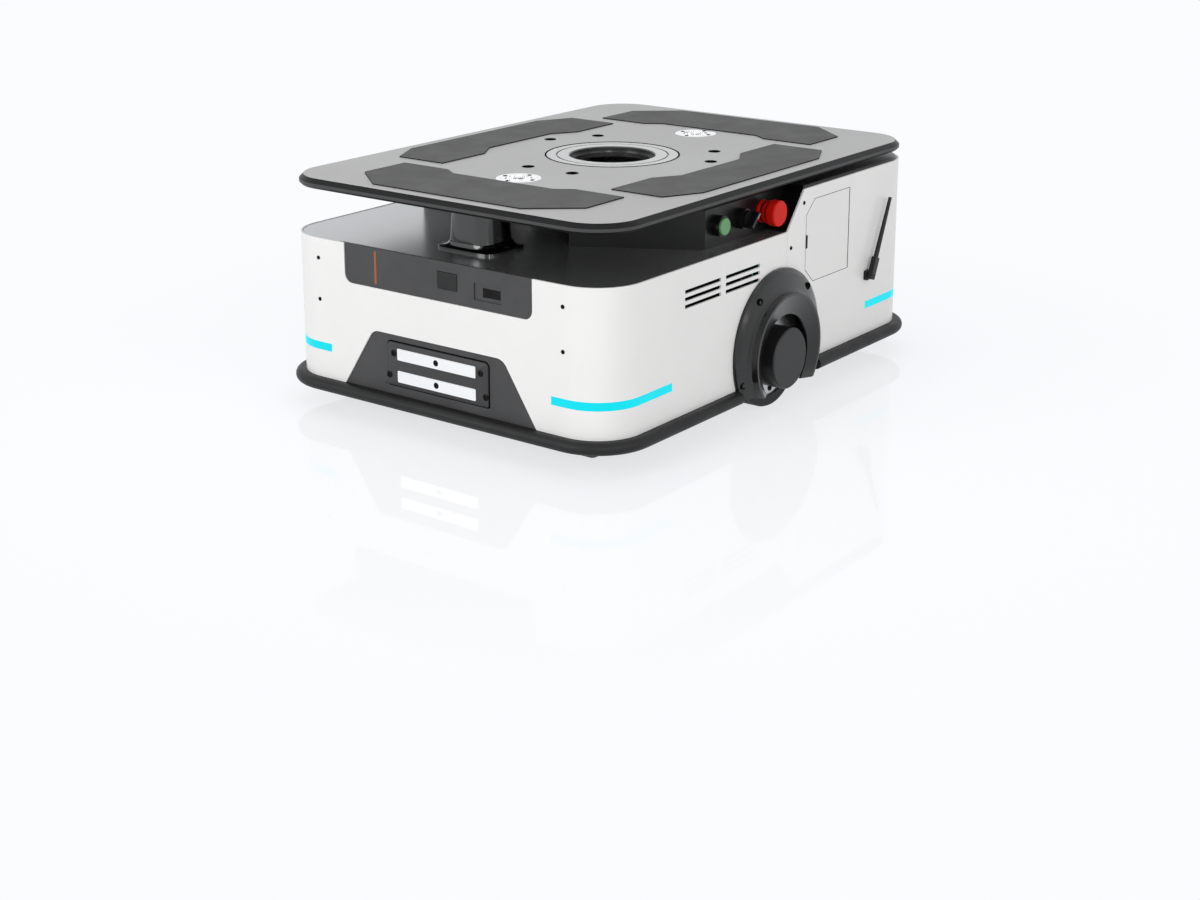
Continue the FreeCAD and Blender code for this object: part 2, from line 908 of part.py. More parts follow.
def flap_face(grow):
    """The socket cover's outline."""
    half, rise = flap_width / 2 + grow, flap_height / 2 + grow
    points = [(flap_y - half, flap_z - rise), (flap_y + half, flap_z - rise),
              (flap_y + half, flap_z + rise), (flap_y - half, flap_z + rise)]
    return sketch(points, "yz", [flap_corner + grow, flap_corner + grow, 0.0, 0.0])


def flap_pin(radius, length):
    """The socket cover's pin line, which stands out of both ends by a length."""
    x = half_length - panel_recess + flap_out - flap_wall / 2
    z = flap_z + flap_height / 2 - flap_wall / 2
    half = flap_width / 2 + flap_pocket_gap + length
    return rod_y(radius, flap_y - half, flap_y + half, x, z)


def make_socket_flap():
    """Hinged cover over the manual charging socket, with a round hinge edge at its top."""
    back = half_length - panel_recess - flap_wall + flap_out
    flap = slab(flap_face(0), back, back + flap_wall, "yz")
    top = flap_z + flap_height / 2
    radius = flap_wall / 2
    edge = box(back, back + flap_wall, flap_y - flap_width / 2, flap_y + flap_width / 2,
               top - radius, top)
    barrel = rod(radius, flap_width, back + radius, flap_y - flap_width / 2, top - radius,
                 V(0, 1, 0))
    flap = flap.cut(edge).fuse(barrel).fuse(flap_pin(flap_pin_radius, flap_pin_length))
    grip = rod(flap_grip_radius, flap_wall, back + flap_wall - flap_grip_depth, flap_y,
               flap_z - flap_height / 2 - flap_grip_drop, V(1, 0, 0))
    return flap.cut(grip)


def make_power_rocker():
    """Rocker of the main switch, tilted to its off side."""
    face_x = half_length - panel_recess - switch_well
    half = rocker_width / 2
    back_x, crest_x = face_x - rocker_body_depth, face_x + rocker_crest
    points = [(back_x, rocker_y - half + rocker_taper), (back_x, rocker_y + half - rocker_taper),
              (crest_x, rocker_y + half - rocker_crest), (face_x - rocker_dip, rocker_y),
              (crest_x, rocker_y - half + rocker_crest)]
    face = sketch(points, "xy")
    body = slab(face, switch_z - rocker_height / 2, switch_z + rocker_height / 2)
    pivot = V(face_x - rocker_pivot_depth, rocker_y, switch_z)
    body.rotate(pivot, V(0, 0, 1), rocker_tilt / 2)
    return body


def make_status_strip():
    """Thin light window in the upper panel."""
    face_x = half_length - panel_recess
    half = status_width / 2 - status_gap
    return box(face_x - status_depth, face_x + status_out, status_y - half, status_y + half,
               status_foot + status_gap, status_top - status_gap)


def make_charge_panel():
    """Lower black panel round the charging contacts, with a lap behind the shell."""
    face_x = half_length - 2 * panel_recess
    seat = inner_length - fit_gap
    plate = slab(charge_panel_face(-panel_gap / 2), seat - charge_panel_setback, face_x, "yz")
    lap = slab(charge_panel_face(panel_lap), seat - panel_wall - charge_panel_setback, seat, "yz")
    lap = lap.common(box(0, reach, -reach, reach, skin_foot, reach))
    panel = plate.fuse(lap)
    return panel.cut(slab(contact_plate_face(contact_plate_gap), 0, reach, "yz"))


def make_contact_plate():
    """Thick insulating plate with two seats for the contact bars and four corner screws."""
    face_x = half_length - 2 * panel_recess + contact_plate_out
    back = inner_length - fit_gap - panel_wall - charge_panel_setback
    plate = slab(contact_plate_face(0), back, face_x, "yz")
    lap_back = back - panel_wall
    lap = slab(contact_plate_face(panel_lap), lap_back, back, "yz")
    plate = plate.fuse(lap)
    for middle in (contact_low_z, contact_high_z):
        half, rise = contact_half + contact_seat_gap, contact_height / 2 + contact_seat_gap
        seat = box(face_x - contact_seat, reach, -half, half, middle - rise, middle + rise)
        plate = plate.cut(seat)
    return plate


def make_contacts():
    """Two flat charging bars with rounded ends and a screw seat in the middle."""
    face_x = half_length - 2 * panel_recess + contact_plate_out
    bars = []
    for middle in (contact_low_z, contact_high_z):
        half = contact_height / 2
        points = [(-contact_half, middle - half), (contact_half, middle - half),
                  (contact_half, middle + half), (-contact_half, middle + half)]
        bar = slab(sketch(points, "yz", contact_corner), face_x - contact_seat,
                   face_x + contact_out, "yz")
        hole = rod(contact_screw_radius, contact_seat, face_x + contact_out - contact_screw_depth,
                   0, middle, V(1, 0, 0))
        bars.append(bar.cut(hole))
    return bars


# ---------------------------------------------------------------- base and wheels
def make_base_tray():
    """Welded base: four corner plates, a drive plate, a folded edge and two cross ribs."""
    inset = skin_wall + tray_gap
    seam = tray_rib_x - tray_rib_wall / 2
    rib_top = tray_top + tray_rib_height
    well_y = gearbox_outer_y + bracket_wall / 2
    slot = box(-drive_slot_half, drive_slot_half, motor_inner_y - drive_slot_gap, half_width,
               tray_floor, tray_top)
    drive_plate = box(-seam, seam, -well_y, well_y, tray_floor, tray_top)
    for cut in both_sides(slot):
        drive_plate = drive_plate.cut(cut)
    floor = outline(inset, tray_floor, tray_top)
    quarter = box(seam, half_length, 0, half_width, tray_floor, tray_top)
    opening = rod(pod_radius - pod_wall, tray_plate, caster_x, caster_y, tray_floor)
    plates = four_corners(floor.common(quarter).cut(opening))
    edge = ring(inset, inset + tray_flange_wall, tray_top, tray_top + tray_flange_height)
    notch_half = charge_panel_foot_half + panel_lap + tray_notch_margin
    notch = box(half_length - tray_notch_depth, half_length, -notch_half, notch_half,
                tray_top, reach)
    for cut in both_sides(box(-seam, seam, well_y, half_width, tray_top, reach)) + [notch]:
        edge = edge.cut(cut)
    rib_end = half_width - inset - tray_flange_wall
    rib = box(seam, seam + tray_rib_wall, -rib_end, rib_end, tray_top, rib_top)
    for i in range(-tray_rib_hole_pairs, tray_rib_hole_pairs + 1):
        rib = rib.cut(rod(tray_rib_hole_radius, tray_rib_wall + 2 * overcut, seam - overcut,
                          i * tray_rib_hole_pitch, (tray_top + rib_top) / 2, V(1, 0, 0)))
    return plates + [drive_plate] + edge.Solids + [rib, mirror_x(rib)]


def make_caster_pods():
    """Four cups on the tray, one over each caster opening."""
    pod = rod(pod_radius, pod_top - tray_top, caster_x, caster_y, tray_top)
    hollow = rod(pod_radius - pod_wall, pod_top - pod_plate - tray_top, caster_x, caster_y,
                 tray_top)
    inset = skin_wall + tray_gap
    inside = outline(inset + tray_flange_wall, tray_top, pod_top)
    return four_corners(pod.cut(hollow).common(inside))


def make_drive_brackets():
    """Angle brackets that hold the gearmotors by the neck of the gearbox."""
    inner = gearbox_outer_y - bracket_wall
    wall = box(-bracket_half, bracket_half, inner, gearbox_outer_y, tray_top,
               tray_top + bracket_height)
    foot_left = box(-bracket_half, -drive_slot_half, inner - bracket_foot, inner,
                    tray_top, tray_top + bracket_wall)
    foot_right = mirror_x(foot_left)
    bracket = wall.fuse(foot_left).fuse(foot_right)
    for x in (-bracket_half, bracket_half - bracket_wall):
        points = [(inner - bracket_foot, tray_top), (inner, tray_top),
                  (inner, tray_top + bracket_height * gusset_share)]
        gusset = slab(sketch(points, "yz"), x, x + bracket_wall, "yz")
        bracket = bracket.fuse(gusset)
    bore = rod_y(gearbox_radius, inner - overcut, gearbox_outer_y + overcut, 0, wheel_radius)
    return both_sides(bracket.cut(bore))


def make_gearmotors():
    """Brushless motor and planetary gearbox in line with each drive wheel."""
    gearbox = rod_y(gearbox_radius, gearbox_inner_y, gearbox_outer_y, 0, wheel_radius)
    collar = rod_y(gearbox_radius + gearbox_collar_lip, gearbox_inner_y + gearbox_collar_inset,
                   gearbox_outer_y - bracket_wall, 0, wheel_radius)
    motor = rod_y(motor_radius, motor_inner_y, gearbox_inner_y, 0, wheel_radius)
    plug_y, motor_top = motor_inner_y + motor_plug_inset, wheel_radius + motor_radius
    plug = box(-motor_plug_half, motor_plug_half, plug_y, plug_y + motor_plug_length,
               motor_top - motor_plug_seat, motor_top + motor_plug_rise)
    unit = gearbox.fuse(collar).fuse(motor).fuse(plug)
    bore = rod_y(axle_radius + run_gap, gearbox_outer_y - gearbox_bore_depth,
                 gearbox_outer_y + overcut, 0, wheel_radius)
    return both_sides(unit.cut(bore))


def revolve_y(points):
    """A wheel part from a half profile of (radius, y) points, turned about the wheel axis."""
    corners = [V(r, y, 0) for r, y in points]
    corners.append(corners[0])
    face = Part.Face(Part.makePolygon(corners))
    solid = face.revolve(V(0, 0, 0), V(0, 1, 0), 360)
    solid.translate(V(0, 0, wheel_radius))
    return solid


def make_tyre():
    """Solid rubber tyre with round shoulders and two tread grooves."""
    inner_y = tyre_face_y - tyre_width
    bore = wheel_radius - tyre_wall
    groove_half = tread_groove / 2
    cut = tyre_round * tyre_round_share
    points = [(bore, inner_y), (wheel_radius - tyre_round, inner_y),
              (wheel_radius - cut, inner_y + cut),
              (wheel_radius, inner_y + tyre_round)]
    for i in range(tread_groove_count):
        y = inner_y + tyre_width * (i + 1) / (tread_groove_count + 1)
        points += [(wheel_radius, y - groove_half), (wheel_radius - tread_groove, y - groove_half),
                   (wheel_radius - tread_groove, y + groove_half), (wheel_radius, y + groove_half)]
    points += [(wheel_radius, tyre_face_y - tyre_round),
               (wheel_radius - cut, tyre_face_y - cut),
               (wheel_radius - tyre_round, tyre_face_y), (bore, tyre_face_y)]
    return revolve_y(points)


def make_wheel_hub():
    """Aluminium rim with a stepped web, bolt holes and the stub axle that enters the gearbox."""
    inner_y = tyre_face_y - tyre_width + rim_inset
    outer_y = tyre_face_y - rim_inset
    bore = wheel_radius - tyre_wall
    web_y = outer_y - rim_web
    lip = bore - rim_wall
    axle_end = gearbox_outer_y - axle_insertion
    points = [(0, axle_end), (axle_radius, axle_end), (axle_radius, gearbox_outer_y + hub_gap),
              (rim_boss_radius, gearbox_outer_y + hub_gap), (rim_boss_radius, web_y), (lip, web_y),
              (lip, inner_y), (bore, inner_y), (bore, outer_y), (0, outer_y)]
    hub = revolve_y(points)
    for i in range(rim_hole_count):
        angle = math.radians(rim_hole_angle + i * 360 / rim_hole_count)
        x = rim_hole_circle * math.cos(angle)
        z = wheel_radius + rim_hole_circle * math.sin(angle)
        hole = rod_y(rim_hole_radius, outer_y - rim_web - overcut, outer_y + overcut, x, z)
        hub = hub.cut(hole)
    return hub


def make_hub_cap():
    """Deep round cap over the wheel nut, hollow towards the rim."""
    foot_y = tyre_face_y - rim_inset
    edge = hub_cap_edge
    radius = hub_cap_radius
    inner = radius - hub_cap_wall
    points = [(0, hub_cap_face_y), (radius - edge, hub_cap_face_y),
              (radius, hub_cap_face_y - edge), (radius, foot_y), (inner, foot_y),
              (inner, hub_cap_face_y - hub_cap_wall), (0, hub_cap_face_y - hub_cap_wall)]
    return revolve_y(points)


def caster_stack():
    """One caster at the front left: its plate, its fork with the axle bolt, and its wheel."""
    crown_top = caster_crown_floor + caster_crown_wall
    plate_top = pod_top - pod_plate
    plate_foot = plate_top - caster_plate_wall
    plate = box(caster_x - caster_plate_half, caster_x + caster_plate_half,
                caster_y - caster_plate_half, caster_y + caster_plate_half,
                plate_foot, plate_top)
    race = rod(caster_race_radius, plate_foot - crown_top - fit_gap, caster_x, caster_y,
               crown_top + fit_gap)
    nut_z = caster_crown_floor - caster_nut_height
    pin = rod(caster_pin_radius, plate_foot - nut_z, caster_x, caster_y, nut_z)
    nut = rod(caster_pin_radius + caster_nut_lip, caster_nut_height - fit_gap, caster_x,
              caster_y, nut_z)
    plate = plate.fuse(race).fuse(pin).fuse(nut)
    wheel_x = caster_x + caster_trail
    leg_in = caster_wheel_width / 2 + caster_leg_gap
    leg_out = leg_in + caster_leg_wall
    crown = rod(caster_crown_radius, caster_crown_wall, caster_x, caster_y, caster_crown_floor)
    bridge = box(caster_x, wheel_x, caster_y - leg_out, caster_y + leg_out,
                 caster_crown_floor, crown_top)
    fork = crown.fuse(bridge)
    half = caster_leg_half
    back_x, cut = caster_x - caster_leg_back, caster_leg_cut
    bend_z, foot_z = caster_wheel_radius - caster_leg_bend, caster_wheel_radius - half
    points = [(back_x, crown_top), (back_x, caster_crown_floor - caster_leg_drop),
              (wheel_x - half, bend_z), (wheel_x - half + cut, foot_z),
              (wheel_x + half - cut, foot_z), (wheel_x + half, bend_z),
              (wheel_x + half, crown_top)]
    leg_face = sketch(points, "xz", caster_leg_corner)
    for side in (1, -1):
        low = caster_y + (leg_in if side > 0 else -leg_out)
        fork = fork.fuse(slab(leg_face, low, low + caster_leg_wall, "xz"))
    fork = fork.cut(rod(caster_pin_radius + run_gap, caster_crown_wall + 2 * overcut, caster_x,
                        caster_y, caster_crown_floor - overcut))
    fork = fork.cut(rod_y(caster_axle_radius, caster_y - leg_out - overcut,
                          caster_y + leg_out + overcut, wheel_x, caster_wheel_radius))
    head = caster_bolt_head
    bolt = rod_y(caster_axle_radius, caster_y - leg_out - head, caster_y + leg_out + head,
                 wheel_x, caster_wheel_radius)
    for y in (caster_y - leg_out - head, caster_y + leg_out):
        bolt = bolt.fuse(rod_y(caster_axle_radius + caster_bolt_lip, y, y + head, wheel_x,
                               caster_wheel_radius))
    wheel_half = caster_wheel_width / 2
    wheel = rod_y(caster_wheel_radius, caster_y - wheel_half, caster_y + wheel_half,
                  wheel_x, caster_wheel_radius)
    rims = [e for e in wheel.Edges if len(e.Vertexes) == 1]
    wheel = wheel.makeFillet(caster_wheel_round, rims)
    hub_half = leg_in - fit_gap
    hub = rod_y(caster_axle_radius + caster_hub_wall, caster_y - hub_half, caster_y + hub_half,
                wheel_x, caster_wheel_radius)
    bore = rod_y(caster_axle_radius + run_gap, caster_y - reach, caster_y + reach,
                 wheel_x, caster_wheel_radius)
    wheel = wheel.fuse(hub).cut(bore)
    return plate, fork, bolt, wheel


# ---------------------------------------------------------------- deck, cover and scanner
def make_front_deck():
    """Sheet deck inside the front shell: it carries the cover's walls and the scanner."""
    deck = outline(skin_wall + panel_gap, deck_foot, deck_top)
    deck = deck.common(box(seam_x, half_length, -half_width, half_width, deck_foot, deck_top))
    hollow = cowl_block(cowl_wall + deck_lap, deck_foot, deck_top)
    deck = deck.cut(hollow)
    front_lap = inner_length - fit_gap - panel_wall - panel_gap
    notch_half = front_panel_half + panel_lap + deck_notch_gap
    notch = box(front_lap, half_length, -notch_half, notch_half, deck_foot, deck_top)
    deck = deck.cut(notch)
    well_x = scanner_plate_half_x - scanner_well_inset
    well_y = scanner_plate_half_y - scanner_well_inset
    well = box(scanner_x - well_x, scanner_x + well_x, -well_y, well_y, deck_foot, deck_top)
    return deck.cut(well)


def make_upper_cover():
    """One moulding: middle block with control walls and scanner bay, and the rear top."""
    def body(inset, low, high, chamfer):
        """The cover's form, inset on all sides."""
        rear = outline(skin_wall + fit_gap + inset, low, high)
        if chamfer > 0:
            rear = rear.makeChamfer(chamfer, edges_at(rear, lambda p: abs(p.z - high) < touch))
        rear = rear.common(step_face(step_lap + inset, low, high))
        return cowl_block(inset, low, high, chamfer).fuse(rear).removeSplitter()

    outer = body(0, deck_top, cover_top, cowl_edge)
    cover = outer.cut(body(cowl_wall, deck_top - overcut, cover_top - cowl_wall, 0))
    low = cover_top - cover_cut
    window = rod(camera_window_radius, 2 * cover_cut, 0, 0, low)
    cover = cover.cut(window)
    for y in (-screw_y, screw_y):
        cover = cover.cut(rod(tube_radius + tube_clearance, 2 * cover_cut, lift_x, y, low))
    for x in guide_xs:
        for y in (-guide_y, guide_y):
            cover = cover.cut(rod(guide_radius + guide_clearance, 2 * cover_cut, x, y, low))
    for x in (estop_x, selector_x, start_x):
        cover = cover.cut(rod_y(barrel_radius, wall_y - cover_cut, wall_y + cover_cut, x,
                                control_z))
    margin = bay_margin + 2 * bay_wall
    bay = box(door_rear_x - margin, door_front_x + margin, inner_width - bay_depth - margin,
              half_width, deck_top - overcut, door_top + margin)
    return cover.cut(bay)


def make_scanner():
    """Laser scanner: a square foot plate and a round body with a flared foot and a neck."""
    plate_top = deck_top + scanner_plate_wall
    half_x, half_y = scanner_plate_half_x, scanner_plate_half_y
    points = [(scanner_x - half_x, -half_y), (scanner_x + half_x, -half_y),
              (scanner_x + half_x, half_y), (scanner_x - half_x, half_y)]
    plate = slab(sketch(points, "xy", scanner_plate_corner), deck_top, plate_top)
    spigot = rod(scanner_spigot_radius, deck_top - deck_foot + scanner_spigot_drop, scanner_x, 0,
                 deck_foot - scanner_spigot_drop)
    plate = plate.fuse(spigot)
    foot, neck = scanner_foot_radius, scanner_radius - scanner_neck
    waist_top = scanner_waist_z + scanner_waist_height
    profile = [(0, plate_top), (foot, plate_top), (foot, plate_top + scanner_foot_edge),
               (scanner_radius, plate_top + scanner_foot_height),
               (scanner_radius, scanner_waist_z), (neck, scanner_waist_z + scanner_neck),
               (neck, waist_top), (scanner_radius, waist_top + scanner_neck),
               (scanner_radius, scanner_top - scanner_top_round),
               (scanner_radius - scanner_top_round, scanner_top), (0, scanner_top)]
    corners = [V(r, 0, z) for r, z in profile]
    corners.append(corners[0])
    head = Part.Face(Part.makePolygon(corners)).revolve(V(0, 0, 0), V(0, 0, 1), 360)
    head.translate(V(scanner_x, 0, 0))
    return plate, head


# ---------------------------------------------------------------- controls, door and antenna
def make_control_collars():
    """The three fixed parts of the controls, held in the cover's wall."""
    collars = []
    for x in (start_x, selector_x, estop_x):
        collars.append(rod_y(barrel_radius, wall_y - barrel_length, wall_y, x, control_z))
    start = rod_y(bezel_radius, wall_y, wall_y + bezel_height, start_x, control_z)
    start = start.fuse(collars[0])
    start = start.cut(rod_y(start_radius + 2 * run_gap, wall_y + start_floor,
                            wall_y + bezel_height + overcut, start_x, control_z))
    selector = rod_y(bezel_radius, wall_y, wall_y + bezel_height, selector_x, control_z)
    selector = selector.fuse(collars[1])
    selector = selector.cut(rod_y(selector_shaft_radius + run_gap,
                                  wall_y - selector_bore_depth,
                                  wall_y + bezel_height + overcut, selector_x, control_z))
    estop = rod_y(estop_collar_radius, wall_y, wall_y + estop_collar_height, estop_x, control_z)
    estop = estop.fuse(collars[2])
    estop = estop.cut(rod_y(estop_neck_radius + run_gap, wall_y - estop_bore_depth,
                            wall_y + estop_collar_height + overcut, estop_x, control_z))
    return start, selector, estop


def make_start_button():
    """Flush green push button."""
    low = wall_y + start_floor + start_travel + start_floor_gap
    button = rod_y(start_radius, low, wall_y + bezel_height + start_out, start_x, control_z)
    edge = [e for e in button.Edges
            if len(e.Vertexes) == 1 and e.CenterOfMass.y > wall_y + bezel_height]
    return button.makeChamfer(start_edge, edge)


def make_selector_knob():
    """Black selector: a round disc with a tapered handle across it."""
    low = wall_y + bezel_height + fit_gap
    disc = rod_y(selector_disc_radius, low, low + selector_disc_height, selector_x, control_z)
    half = selector_handle_width / 2
    slim = half - selector_handle_taper
    top = low + selector_disc_height + selector_handle_height
    foot = low + selector_disc_height
    points = [(selector_x - half, foot), (selector_x + half, foot),
              (selector_x + slim, top), (selector_x - slim, top)]
    handle = slab(sketch(points, "xy", [0, 0, selector_handle_round, selector_handle_round]),
                  control_z - selector_handle_length / 2, control_z + selector_handle_length / 2)
    shaft = rod_y(selector_shaft_radius, wall_y - selector_shaft_depth, low, selector_x, control_z)
    knob = disc.fuse(handle).fuse(shaft)
    knob.rotate(V(selector_x, 0, control_z), V(0, 1, 0), selector_turn)
    return knob


def make_estop():
    """Plunger that slides in the collar, and the red mushroom head that turns on it."""
    face_y = wall_y + estop_out
    back_y = face_y - estop_head_height
    seat_y = back_y + estop_head_height / 2
    stem = rod_y(estop_neck_radius, wall_y - estop_stem_depth, back_y - fit_gap, estop_x, control_z)
    stem = stem.fuse(rod_y(estop_spigot_radius, wall_y, seat_y, estop_x, control_z))
    head = rod_y(estop_head_radius, back_y, face_y, estop_x, control_z)
    rims = [e for e in head.Edges if len(e.Vertexes) == 1 and e.CenterOfMass.y > face_y - overcut]
    head = head.makeFillet(estop_edge, rims)
    bore = rod_y(estop_spigot_radius + run_gap, back_y - overcut, seat_y + fit_gap,
                 estop_x, control_z)
    return stem, head.cut(bore)


def make_access_door():
    """Lid of the service bay: it turns on a round rear edge with a pin at each end."""
    door = slab(door_face(0), inner_width, half_width, "xz")
    radius = skin_wall / 2
    edge = box(door_rear_x, door_rear_x + radius, inner_width, half_width, door_foot, door_top)
    axis_x, axis_y = door_rear_x + radius, half_width - radius
    barrel = rod(radius, door_top - door_foot, axis_x, axis_y, door_foot)
    length = door_top - door_foot + 2 * (panel_gap + door_pin_length - pin_end_gap)
    pin = rod(door_pin_radius, length, axis_x, axis_y,
              door_foot - panel_gap - door_pin_length + pin_end_gap)
    door = door.cut(edge).fuse(barrel).fuse(pin)
    pull = box(door_front_x - door_latch_width, door_front_x + overcut,
               half_width - door_latch_depth, half_width + overcut, door_latch_z - door_latch_height / 2,
               door_latch_z + door_latch_height / 2)
    return door.cut(pull)


def make_service_bay():
    """Shallow box behind the door with a breaker and two sealed sockets."""
    outer_y = inner_width - fit_gap
    floor_y = outer_y - bay_depth
    low_x, high_x = door_rear_x - bay_margin, door_front_x + bay_margin
    low_z, high_z = door_foot - bay_margin, door_top + bay_margin
    bay = box(low_x - bay_wall, high_x + bay_wall, floor_y - bay_wall, outer_y,
              low_z - bay_wall, high_z + bay_wall)
    bay = bay.cut(box(low_x, high_x, floor_y, outer_y + overcut, low_z, high_z))
    breaker_x = high_x - breaker_inset
    breaker_y = floor_y + breaker_depth
    breaker = box(breaker_x - breaker_width, breaker_x, floor_y, breaker_y,
                  low_z + breaker_foot, high_z - breaker_drop)
    middle = breaker_x - breaker_width / 2
    lever_z = low_z + breaker_foot + lever_rise
    lever = box(middle - lever_width / 2, middle + lever_width / 2, breaker_y,
                breaker_y + lever_depth, lever_z, lever_z + lever_height)
    bay = bay.fuse(breaker).fuse(lever)
    x = low_x + outlet_x
    top = floor_y + outlet_height
    for z in (low_z + outlet_low_z, high_z - outlet_drop):
        bay = bay.fuse(rod_y(outlet_radius, floor_y, top, x, z))
        bay = bay.cut(rod_y(outlet_bore_radius, top - outlet_depth, top, x, z))
    return bay


def make_antenna():
    """Fixed foot with a cross pin, and the folding rod that turns on it."""
    foot_y = half_width
    pin_y = foot_y + antenna_base_out
    half = antenna_base_size / 2
    points = [(antenna_x - half, antenna_z - half), (antenna_x + half, antenna_z - half),
              (antenna_x + half, antenna_z + half), (antenna_x - half, antenna_z + half)]
    foot = slab(sketch(points, "xz", antenna_corner), foot_y, pin_y, "xz")
    pin = rod_y(antenna_pin_radius, pin_y, pin_y + antenna_grip_depth + antenna_pin_out,
                antenna_x, antenna_z)
    foot = foot.fuse(pin)
    half = antenna_grip_width / 2
    low = pin_y + fit_gap
    points = [(antenna_x - half, antenna_z - half), (antenna_x + half, antenna_z - half),
              (antenna_x + half, antenna_z + antenna_grip_length - half),
              (antenna_x - half, antenna_z + antenna_grip_length - half)]
    corners = [antenna_corner, antenna_corner, antenna_tip_corner, antenna_tip_corner]
    grip = slab(sketch(points, "xz", corners), low, low + antenna_grip_depth, "xz")
    stick = Part.makeCone(antenna_rod_foot_radius, antenna_rod_tip_radius,
                          antenna_length - antenna_grip_length + half,
                          V(antenna_x, low + antenna_grip_depth / 2,
                            antenna_z + antenna_grip_length - half))
    antenna = grip.fuse(stick)
    antenna = antenna.cut(rod_y(antenna_pin_radius + run_gap, low - overcut,
                                low + antenna_grip_depth + overcut, antenna_x, antenna_z))
    antenna.rotate(V(antenna_x, 0, antenna_z), V(0, 1, 0), -antenna_lean)
    return foot, antenna


# ---------------------------------------------------------------- platform
def end_pad_points():
    """Outline of the front rubber pad."""
    waist = end_pad_waist_half
    run = waist + end_pad_waist_run
    inner, outer = end_pad_inner, end_pad_outer
    deep = inner + end_pad_waist_depth
    half = [(outer, end_pad_flat), (end_pad_shoulder, end_pad_half), (inner, end_pad_half),
            (inner, run), (deep, waist)]
    return half + [(x, -y) for x, y in reversed(half)]


def side_pad_points():
    """Outline of the left rubber pad."""
    waist = side_pad_waist_half
    run = waist + side_pad_waist_run
    deep = side_pad_inner + side_pad_waist_depth
    half = [(side_pad_flat, side_pad_outer), (side_pad_half, side_pad_shoulder),
            (side_pad_half, side_pad_inner), (run, side_pad_inner), (waist, deep)]
    return half + [(-x, y) for x, y in reversed(half)]


def pad_solids(points, grow, low, high):
    """One pad form, grown by a clearance."""
    face = sketch(points)
    if grow > 0:
        face = face.makeOffset2D(grow, 2)  # 2 keeps the corners sharp
    return slab(face, low, high)


def payload_hole_points():
    """Centres of the payload holes: pairs about three equal directions."""
    points = []
    for group in range(payload_groups):
        for side in (-payload_pair_angle, payload_pair_angle):
            angle = math.radians(group * 360 / payload_groups + side)
            points.append((payload_circle_radius * math.cos(angle),
                           payload_circle_radius * math.sin(angle)))
    return points


def make_platform():
    """Machined top plate with chamfered edges, pad seats, ring seat and payload holes."""
    plate = outline(0, platform_foot, platform_top)
    top = edges_at(plate, lambda p: abs(p.z - platform_top) < touch)
    plate = plate.makeChamfer(platform_top_chamfer, top)
    foot = edges_at(plate, lambda p: abs(p.z - platform_foot) < touch)
    plate = plate.makeChamfer(platform_foot_chamfer, foot)
    seat_z = platform_top - pad_seat
    for points in (end_pad_points(), side_pad_points()):
        seat = pad_solids(points, pad_seat_gap, seat_z, reach)
        plate = plate.cut(seat)
        mirrored = mirror_x(seat) if points == end_pad_points() else mirror_y(seat)
        plate = plate.cut(mirrored)
    ring_seat = rod(ring_radius, reach, 0, 0, platform_top - ring_ledge_depth)
    depth, low = platform_thickness + 2 * overcut, platform_foot - overcut
    through = rod(ring_line_radius - ring_neck_inset, depth, 0, 0, low)
    plate = plate.cut(ring_seat).cut(through)
    for x, y in payload_hole_points():
        plate = plate.cut(rod(payload_hole_radius, depth, x, y, low))
    for x in (-locating_offset, locating_offset):
        plate = plate.cut(rod(locating_radius, reach, x, 0, platform_top - locating_depth))
        plate = plate.cut(rod(locating_bore_radius + locating_relief, depth, x, 0, low))
    return plate


def make_centre_ring():
    """Steel ring in the middle of the platform: a shadow groove, a step and an inner ledge."""
    foot = platform_top - ring_ledge_depth
    outer = ring_radius - fit_gap
    neck = ring_line_radius - ring_neck_inset - fit_gap
    points = [
        (ring_ledge_radius, platform_foot), (neck, platform_foot), (neck, foot), (outer, foot),
        (outer, platform_top - ring_edge_height), (outer - ring_edge_width, platform_top),
        (ring_line_radius + groove_width / 2, platform_top),
        (ring_line_radius + groove_width / 2, platform_top - groove_depth),
        (ring_line_radius - groove_width / 2, platform_top - groove_depth),
        (ring_line_radius - groove_width / 2, platform_top),
        (platform_hole_radius + ring_bore_edge, platform_top),
        (platform_hole_radius, platform_top - ring_bore_edge),
        (platform_hole_radius, foot), (ring_ledge_radius, foot),
    ]
    corners = [V(r, 0, z) for r, z in points]
    corners.append(corners[0])
    return Part.Face(Part.makePolygon(corners)).revolve(V(0, 0, 0), V(0, 0, 1), 360)


def make_locating_flanges():
    """Two polished round flanges with a locating bore and four screws."""
    flanges = []
    for x in (-locating_offset, locating_offset):
        floor = platform_top - locating_depth
        flange = rod(locating_radius - run_gap, locating_depth, x, 0, floor)
        flange = flange.cut(rod(locating_bore_radius, locating_depth + 2 * overcut, x, 0,
                                floor - overcut))
        for i in range(locating_screw_count):
            angle = 2 * math.pi * i / locating_screw_count
            sx = x + locating_screw_circle * math.cos(angle)
            sy = locating_screw_circle * math.sin(angle)
            flange = flange.cut(rod(locating_screw_radius, locating_depth, sx, sy,
                                    platform_top - locating_screw_depth))
        flanges.append(flange)
    return flanges


def make_pads():
    """Four rubber pads, let into the platform and standing slightly proud."""
    low, high = platform_top - pad_seat, platform_top + pad_height
    end = pad_solids(end_pad_points(), 0, low, high)
    side = pad_solids(side_pad_points(), 0, low, high)
    return [end, mirror_x(end), side, mirror_y(side)]


